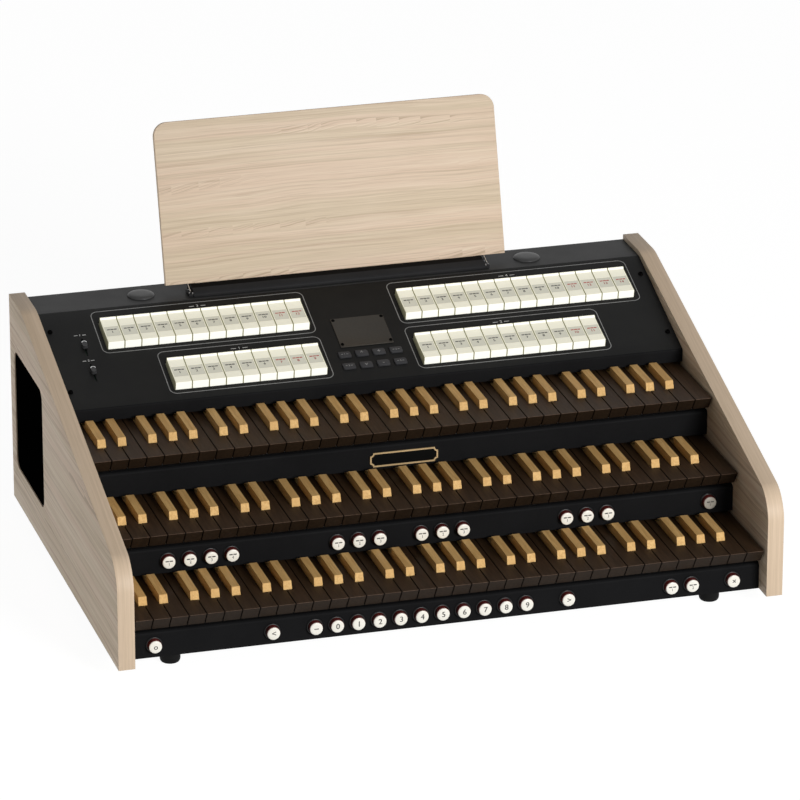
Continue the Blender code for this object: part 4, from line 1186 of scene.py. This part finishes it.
# %% All pistons
PISTON_PITCH = 28.4 * MM
MIDDLE_RAIL_FROM = 80.0 * MM
to_player = Matrix.Rotation(math.radians(90), 4, "X")
signs = {
    "piston_set": "o", "piston_previous": "<", "piston_minus": "-",
    "pistons_numbered": "0123456789", "piston_next": ">", "piston_right_a": "1",
    "piston_right_b": "2", "piston_cancel": "\u00d7", "pistons_coupler_a": "1234",
    "pistons_coupler_b": "123", "pistons_coupler_c": "123",
    "pistons_coupler_d": "123", "piston_voice": "1",
}
rings = {"front_rail": bmesh.new(), "middle_rail": bmesh.new()}
for node, letters in signs.items():
    low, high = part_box(node)
    rail = "front_rail" if high.z < MIDDLE_RAIL_FROM else "middle_rail"
    face_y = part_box(rail)[0].y
    first = (low.x + high.x) / 2 - (len(letters) - 1) * PISTON_PITCH / 2
    white = piston_grey if node == "piston_voice" else piston_face
    ink = bmesh.new()
    for index, letter in enumerate(letters):
        place = shift(first + index * PISTON_PITCH, face_y, (low.z + high.z) / 2) @ to_player
        button = piston()
        button.transform(place)
        name = node.replace("pistons", "piston") + f"_{index + 1:02d}"
        keep(button, name, node, (white, piston_body), (node,), 40.0)
        add_part(rings[rail], turned(COLLAR_SIDE), place)
        mark = place @ shift(0, 0, 10.02 * MM)
        if letter == "-":
            print_rule(ink, 6.0, 1.2, mark)
        elif "coupler" in node or "right" in node or "voice" in node:
            print_pair(ink, 4.4, 1.5, 2.7, mark @ shift(0, 2.0 * MM))
            print_text(ink, letter, 5.6, mark @ shift(0, -2.2 * MM))
        else:
            for step in (0, 1):
                print_text(ink, letter, 10.5, mark @ shift(step * 0.35 * MM, 0, step * 0.01 * MM))
    keep(ink, node + "_print", node, (print_dark,))
for rail, ring in rings.items():
    keep(ring, rail + "_collars", "console", (black_plastic,), smooth=40.0)
print("pistons:", sum(len(letters) for letters in signs.values()))

# %% [markdown]
# ## Rails, cover, ledge and badge
#
# Rails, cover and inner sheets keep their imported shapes. The two round plugs of the cover,
# the ledge of the music desk and the badge get finer forms.

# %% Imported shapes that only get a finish
for finish, solids in (
    (rail_paint_and_lip_shade, ("front_rail", "middle_rail", "upper_rail")),
    (panel_paint, ("base_panel", "back_panel")),
    (cover_paint, ("top_cover",)),
    (zinc, ("key_frame_one", "key_frame_two", "key_frame_three")),
    (zinc, ["carrier_" + row for row in rows]),
    (board_green, ("slider_board", "menu_board")),
    (oak_cheek_band, ("centre_rib",)),
    (black_plastic, ("power_inlet", "power_switch")),
):
    for solid in solids:
        dress(solid, finish)

# %% Plugs of the cover
PLUG_H = 4.0
PLUG_DOME = (
    (0, 1.0), (0.4, 0.99), (0.7, 0.92), (0.9, 0.74), (0.97, 0.5), (1.0, 0.25), (1.0, 0.075),
    (0.78, 0.075), (0.78, -1.5), (0, -1.5),
)
cover_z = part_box("top_cover")[1].z
for side in ("left", "right"):
    low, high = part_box(side + "_cap")
    r = (high.x - low.x) / 2 / MM
    cap = turned([(a * r, b * PLUG_H) for a, b in PLUG_DOME], 48)
    cap.transform(shift((low.x + high.x) / 2, (low.y + high.y) / 2, cover_z))
    keep(cap, side + "_cover_plug", "console", (plug_plastic,), (side + "_cap",), 40.0)

# %% [markdown]
# The badge is a black field inside a gold border, with a round bite out of each corner.
# Each bite is a quarter circle round a corner of the plate, walked in five steps.

# %% Badge
low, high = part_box("badge_plate")
BITE = 4.4 * MM
BITE_STEPS = 5
BORDER = 2.0 * MM
badge = bmesh.new()
outline = []
for x, z, start in (
    (low.x, low.z, 90), (high.x, low.z, 180), (high.x, high.z, 270), (low.x, high.z, 0),
):
    for index in range(BITE_STEPS + 1):
        angle = math.radians(start - index * 90 / BITE_STEPS)
        outline.append((x + BITE * math.cos(angle), high.y, z + BITE * math.sin(angle)))
face_through(badge, outline)
pull(badge, badge.faces[:], (0, low.y - high.y, 0))
outward(badge)
front = min(badge.faces, key=lambda f: f.calc_center_median().y)
for wide, depth in ((BORDER, 0.0), (0.2 * MM, -0.5 * MM)):
    bmesh.ops.inset_region(
        badge, faces=[front], thickness=wide, depth=depth, use_even_offset=True)
front.material_index = 1
keep(badge, "badge", "console", (gilt, badge_black_and_ledge_shadow), ("badge_plate",))

# %% [markdown]
# The ledge is a bar with one cross-section: a smooth nose in front, the groove for the
# desk's tongue, and a rear wall. Behind the nose the bar takes the near black of the badge,
# as painted shadow of the desk above it. Each end has a clip, three polished pins and a
# bright wire that stands on two short posts. All its numbers are in mm, counted from the
# bar's middle and its front foot.

# %% Desk ledge
LEDGE_SIDE = (
    (0.0, 0.0), (39.0, 0.0), (39.0, 8.0), (28.6, 10.4), (28.6, 4.8), (23.6, 3.4), (22.4, 7.0),
    (22.0, 11.8), (20.4, 12.6), (17.0, 11.5), (12.0, 9.5), (4.0, 6.5), (0.8, 4.6), (0.0, 3.5),
)
LEDGE_HALF = 206.0
DESK_SHADOW_FROM = 13.0
CLIP_TOP = 4.5
WIRE_SIDE = ((20.4, 12.8), (5.0, 7.4), (5.0, 5.6), (20.4, 11.0))
WIRE_X, WIRE_T = 3.2, 0.7
POST_FROM, POST_TOP = 4.0, 8.0
PIN_SIDE = [(0, 1.9), (0.7, 1.8), (1.2, 1.2), (1.3, 0.3), (1.3, -1.0), (0, -1.0)]
low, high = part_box("desk_ledge")
corner = Vector((0.0, low.y + 1.0 * MM, cover_z + 0.3 * MM))


def on_ledge(x, y, z):
    """A point in metres, from mm: x from the middle, y and z from the bar's front foot."""
    return corner + Vector((x, y, z)) * MM


def ledge_block(bm, side, x, y, z):
    """A box at one end of the bar, between two values of x past the end, of y and of z."""
    near, far = sorted(side * (LEDGE_HALF + value) for value in x)
    box_between(bm, on_ledge(near, y[0], z[0]), on_ledge(far, y[1], z[1]))


ledge = bmesh.new()
face_through(ledge, [on_ledge(-LEDGE_HALF, y, z) for y, z in LEDGE_SIDE])
pull(ledge, ledge.faces[:], (2 * LEDGE_HALF * MM, 0, 0))
outward(ledge)
ease(ledge, crisp(ledge, 35.0), 0.5 * MM, 2)
desk_shadow_from, post_end = on_ledge(0, DESK_SHADOW_FROM, POST_TOP).yz
# Faces behind the nose get the near black: painted shadow of the desk.
colour_faces(ledge, lambda at, normal: 2 * (at.y > desk_shadow_from))
for side in (-1, 1):
    clip = bmesh.new()
    ledge_block(clip, side, (-3.0, 6.5), (2.0, 22.0), (0.0, CLIP_TOP))
    ease(clip, crisp(clip), 0.9 * MM, 3)
    add_part(ledge, clip, Matrix())
    wire = bmesh.new()
    face_through(wire, [on_ledge(side * (LEDGE_HALF + WIRE_X), y, z) for y, z in WIRE_SIDE])
    pull(wire, wire.faces[:], (side * WIRE_T * MM, 0, 0))
    for y, z in ((5.2, 6.5), (19.0, 11.2)):
        ledge_block(wire, side, (WIRE_X + 0.1, WIRE_X + 0.8), (y, y + 1.2), (POST_FROM, z))
    outward(wire)
    colour_faces(wire, lambda at, normal: 1 if at.z > post_end else 2)
    add_part(ledge, wire, Matrix())
    for x, y in ((1.2, 3.0), (5.0, 5.6), (3.4, 17.6)):
        pin = turned(PIN_SIDE, 12)
        colour_faces(pin, lambda at, normal: 3)
        place = Matrix.Translation(on_ledge(side * (LEDGE_HALF + x), y, CLIP_TOP))
        add_part(ledge, pin, place)
keep(ledge, "desk_ledge_bar", "console", (ledge_black, bright_metal_and_rim_highlight, badge_black_and_ledge_shadow, dark_chrome),
     ("desk_ledge",), 30.0)

# %% [markdown]
# ## Screws and feet
#
# Small fasteners are turned, domed caps with a socket. They are nearly black, as the
# picture shows them. Their outline is written in shares of radius and height, so the screws
# of panel, display, back and base differ by two numbers and a list of places.

# %% Screws
SCREW_DOME = (
    (0.0, 0.5), (0.42, 0.5), (0.42, 0.98), (0.55, 1.0), (0.78, 0.86), (0.93, 0.55), (1.0, 0.1),
)
PANEL_U, PANEL_T = (-415.5 * MM, 415.5 * MM), (38.3 * MM, 164.5 * MM)
FLANGE_U, FLANGE_T = (-32.3 * MM, 35.2 * MM), (78.6 * MM, 129.2 * MM)
BACK_X = (-0.41, -0.205, 0.0, 0.205, 0.41)
BASE_X = (-0.41, -0.14, 0.14, 0.41)
EDGE_IN = 12.0 * MM
back_low, back_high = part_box("back_panel")
base_low, base_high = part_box("base_panel")
back_z = (back_low.z + EDGE_IN, back_high.z - 30 * MM)
base_y = (base_low.y + EDGE_IN, base_high.y - EDGE_IN)
to_back = Matrix.Rotation(math.radians(-90), 4, "X")
upside = Matrix.Rotation(math.radians(180), 4, "X")
screws = bmesh.new()
for radius, tall, places in (
    (3.4, 3.0, [on_panel @ shift(u, t) for u in PANEL_U for t in PANEL_T]),
    (2.5, 1.5, [on_panel @ shift(u, t, MM) for u in FLANGE_U for t in FLANGE_T]),
    (3.2, 0.8, [shift(x, back_high.y, z) @ to_back for x in BACK_X for z in back_z]),
    (3.2, 1.5, [shift(x, y, base_low.z) @ upside for x in BASE_X for y in base_y]),
):
    side = [(a * radius, b * tall) for a, b in SCREW_DOME]
    for place in places:
        add_part(screws, turned([*side, (radius, -1.0), (0.0, -1.0)], 24), place)
keep(screws, "screws", "console", (screw_black,), smooth=40.0)

# %% Feet
FOOT_H = 19.7
FOOT_SIDE = (
    (1.0, 5.6), (0.985, 4.0), (0.95, 2.4), (0.89, 1.1), (0.8, 0.3), (0.7, 0.0), (0.3, 0.0),
    (0.24, 1.6), (0, 1.6),
)
for end in ("front", "back"):
    for side in ("left", "right"):
        node = f"foot_{end}_{side}"
        low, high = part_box(node)
        r = (high.x - low.x) / 2 / MM
        foot = turned([(0, FOOT_H), (r, FOOT_H), *((a * r, h) for a, h in FOOT_SIDE)], 40)
        foot.transform(shift((low.x + high.x) / 2, (low.y + high.y) / 2, low.z))
        keep(foot, node + "_rubber", "console", (rubber,), (node,), 40.0)

# %% [markdown]
# ## Floor and light
#
# The picture has a white ground. To the camera the floor is a darker floor with a glow of
# its own, and both add up to white, so the soft shadow of the organ stays faint. To the
# organ it is a plain pale floor. Most light comes from the player's side, so faces that
# look forward are the brightest, and tops are a good deal darker.

# %% Floor
PALE = (0.62, 0.62, 0.62, 1.0)
SEEN_GREY = (0.16, 0.16, 0.16, 1.0)
SEEN_GLOW = 0.95
WHITE = (1.0, 1.0, 1.0, 1.0)
floor_mesh = bmesh.new()
bmesh.ops.create_grid(floor_mesh, x_segments=1, y_segments=1, size=20.0)
mesh = bpy.data.meshes.new("floor")
floor_mesh.to_mesh(mesh)
floor_mesh.free()
floor = bpy.data.objects.new("floor", mesh)
bpy.context.scene.collection.objects.link(floor)
floor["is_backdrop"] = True
ground = Finish("white_floor", PALE, 0.9, Specular_IOR_Level=0.0)


def background_rays(recipe):
    """1 for rays that meet the background itself, straight or in a shiny surface."""
    names = ("Is Camera Ray", "Is Glossy Ray", "Is Transmission Ray")
    straight, shiny, through = (recipe.node("ShaderNodeLightPath", {}, {}, out=n) for n in names)
    return recipe.reckon("MINIMUM", straight + shiny + through, 1.0)


seen = background_rays(ground)
ground.set("Base Color", blend(seen, PALE, SEEN_GREY))
ground.set("Emission Color", WHITE)
ground.set("Emission Strength", seen * SEEN_GLOW)
mesh.materials.append(ground.material)

# %% World and lamps
SKY = 0.12
AIM = Vector((0.0, 0.0, 0.15))
world = bpy.data.worlds.new("white_room")
bpy.context.scene.world = world
air = Recipe(world, "Background")
air.set("Color", WHITE)
air.set("Strength", SKY + background_rays(air) * (1.0 - SKY))


def lamp(name, place, size, power):
    """A square lamp that looks at the organ. Place and size in metres, power in watts."""
    light = bpy.data.lights.new(name, "AREA")
    light.shape = "RECTANGLE"
    light.size, light.size_y = size
    light.energy = power
    obj = bpy.data.objects.new(name, light)
    obj.location = place
    obj.rotation_mode = "QUATERNION"
    obj.rotation_quaternion = (AIM - Vector(place)).to_track_quat("-Z", "Y")
    bpy.context.scene.collection.objects.link(obj)


lamp("player_side", (1.65, -5.54, 1.95), (1.7, 1.7), 299.0)
lamp("left_side", (-6.0, 0.3, 0.25), (2.0, 0.2), 67.0)

# %% Size and last checks
bpy.context.scene.view_settings.view_transform = "Standard"
new_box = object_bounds()
grown = [
    round((b - a) * 1000, 2)
    for a, b in zip((*cad_box[0], *cad_box[1]), (*new_box[0], *new_box[1]))
]
print("growth in mm:", grown)
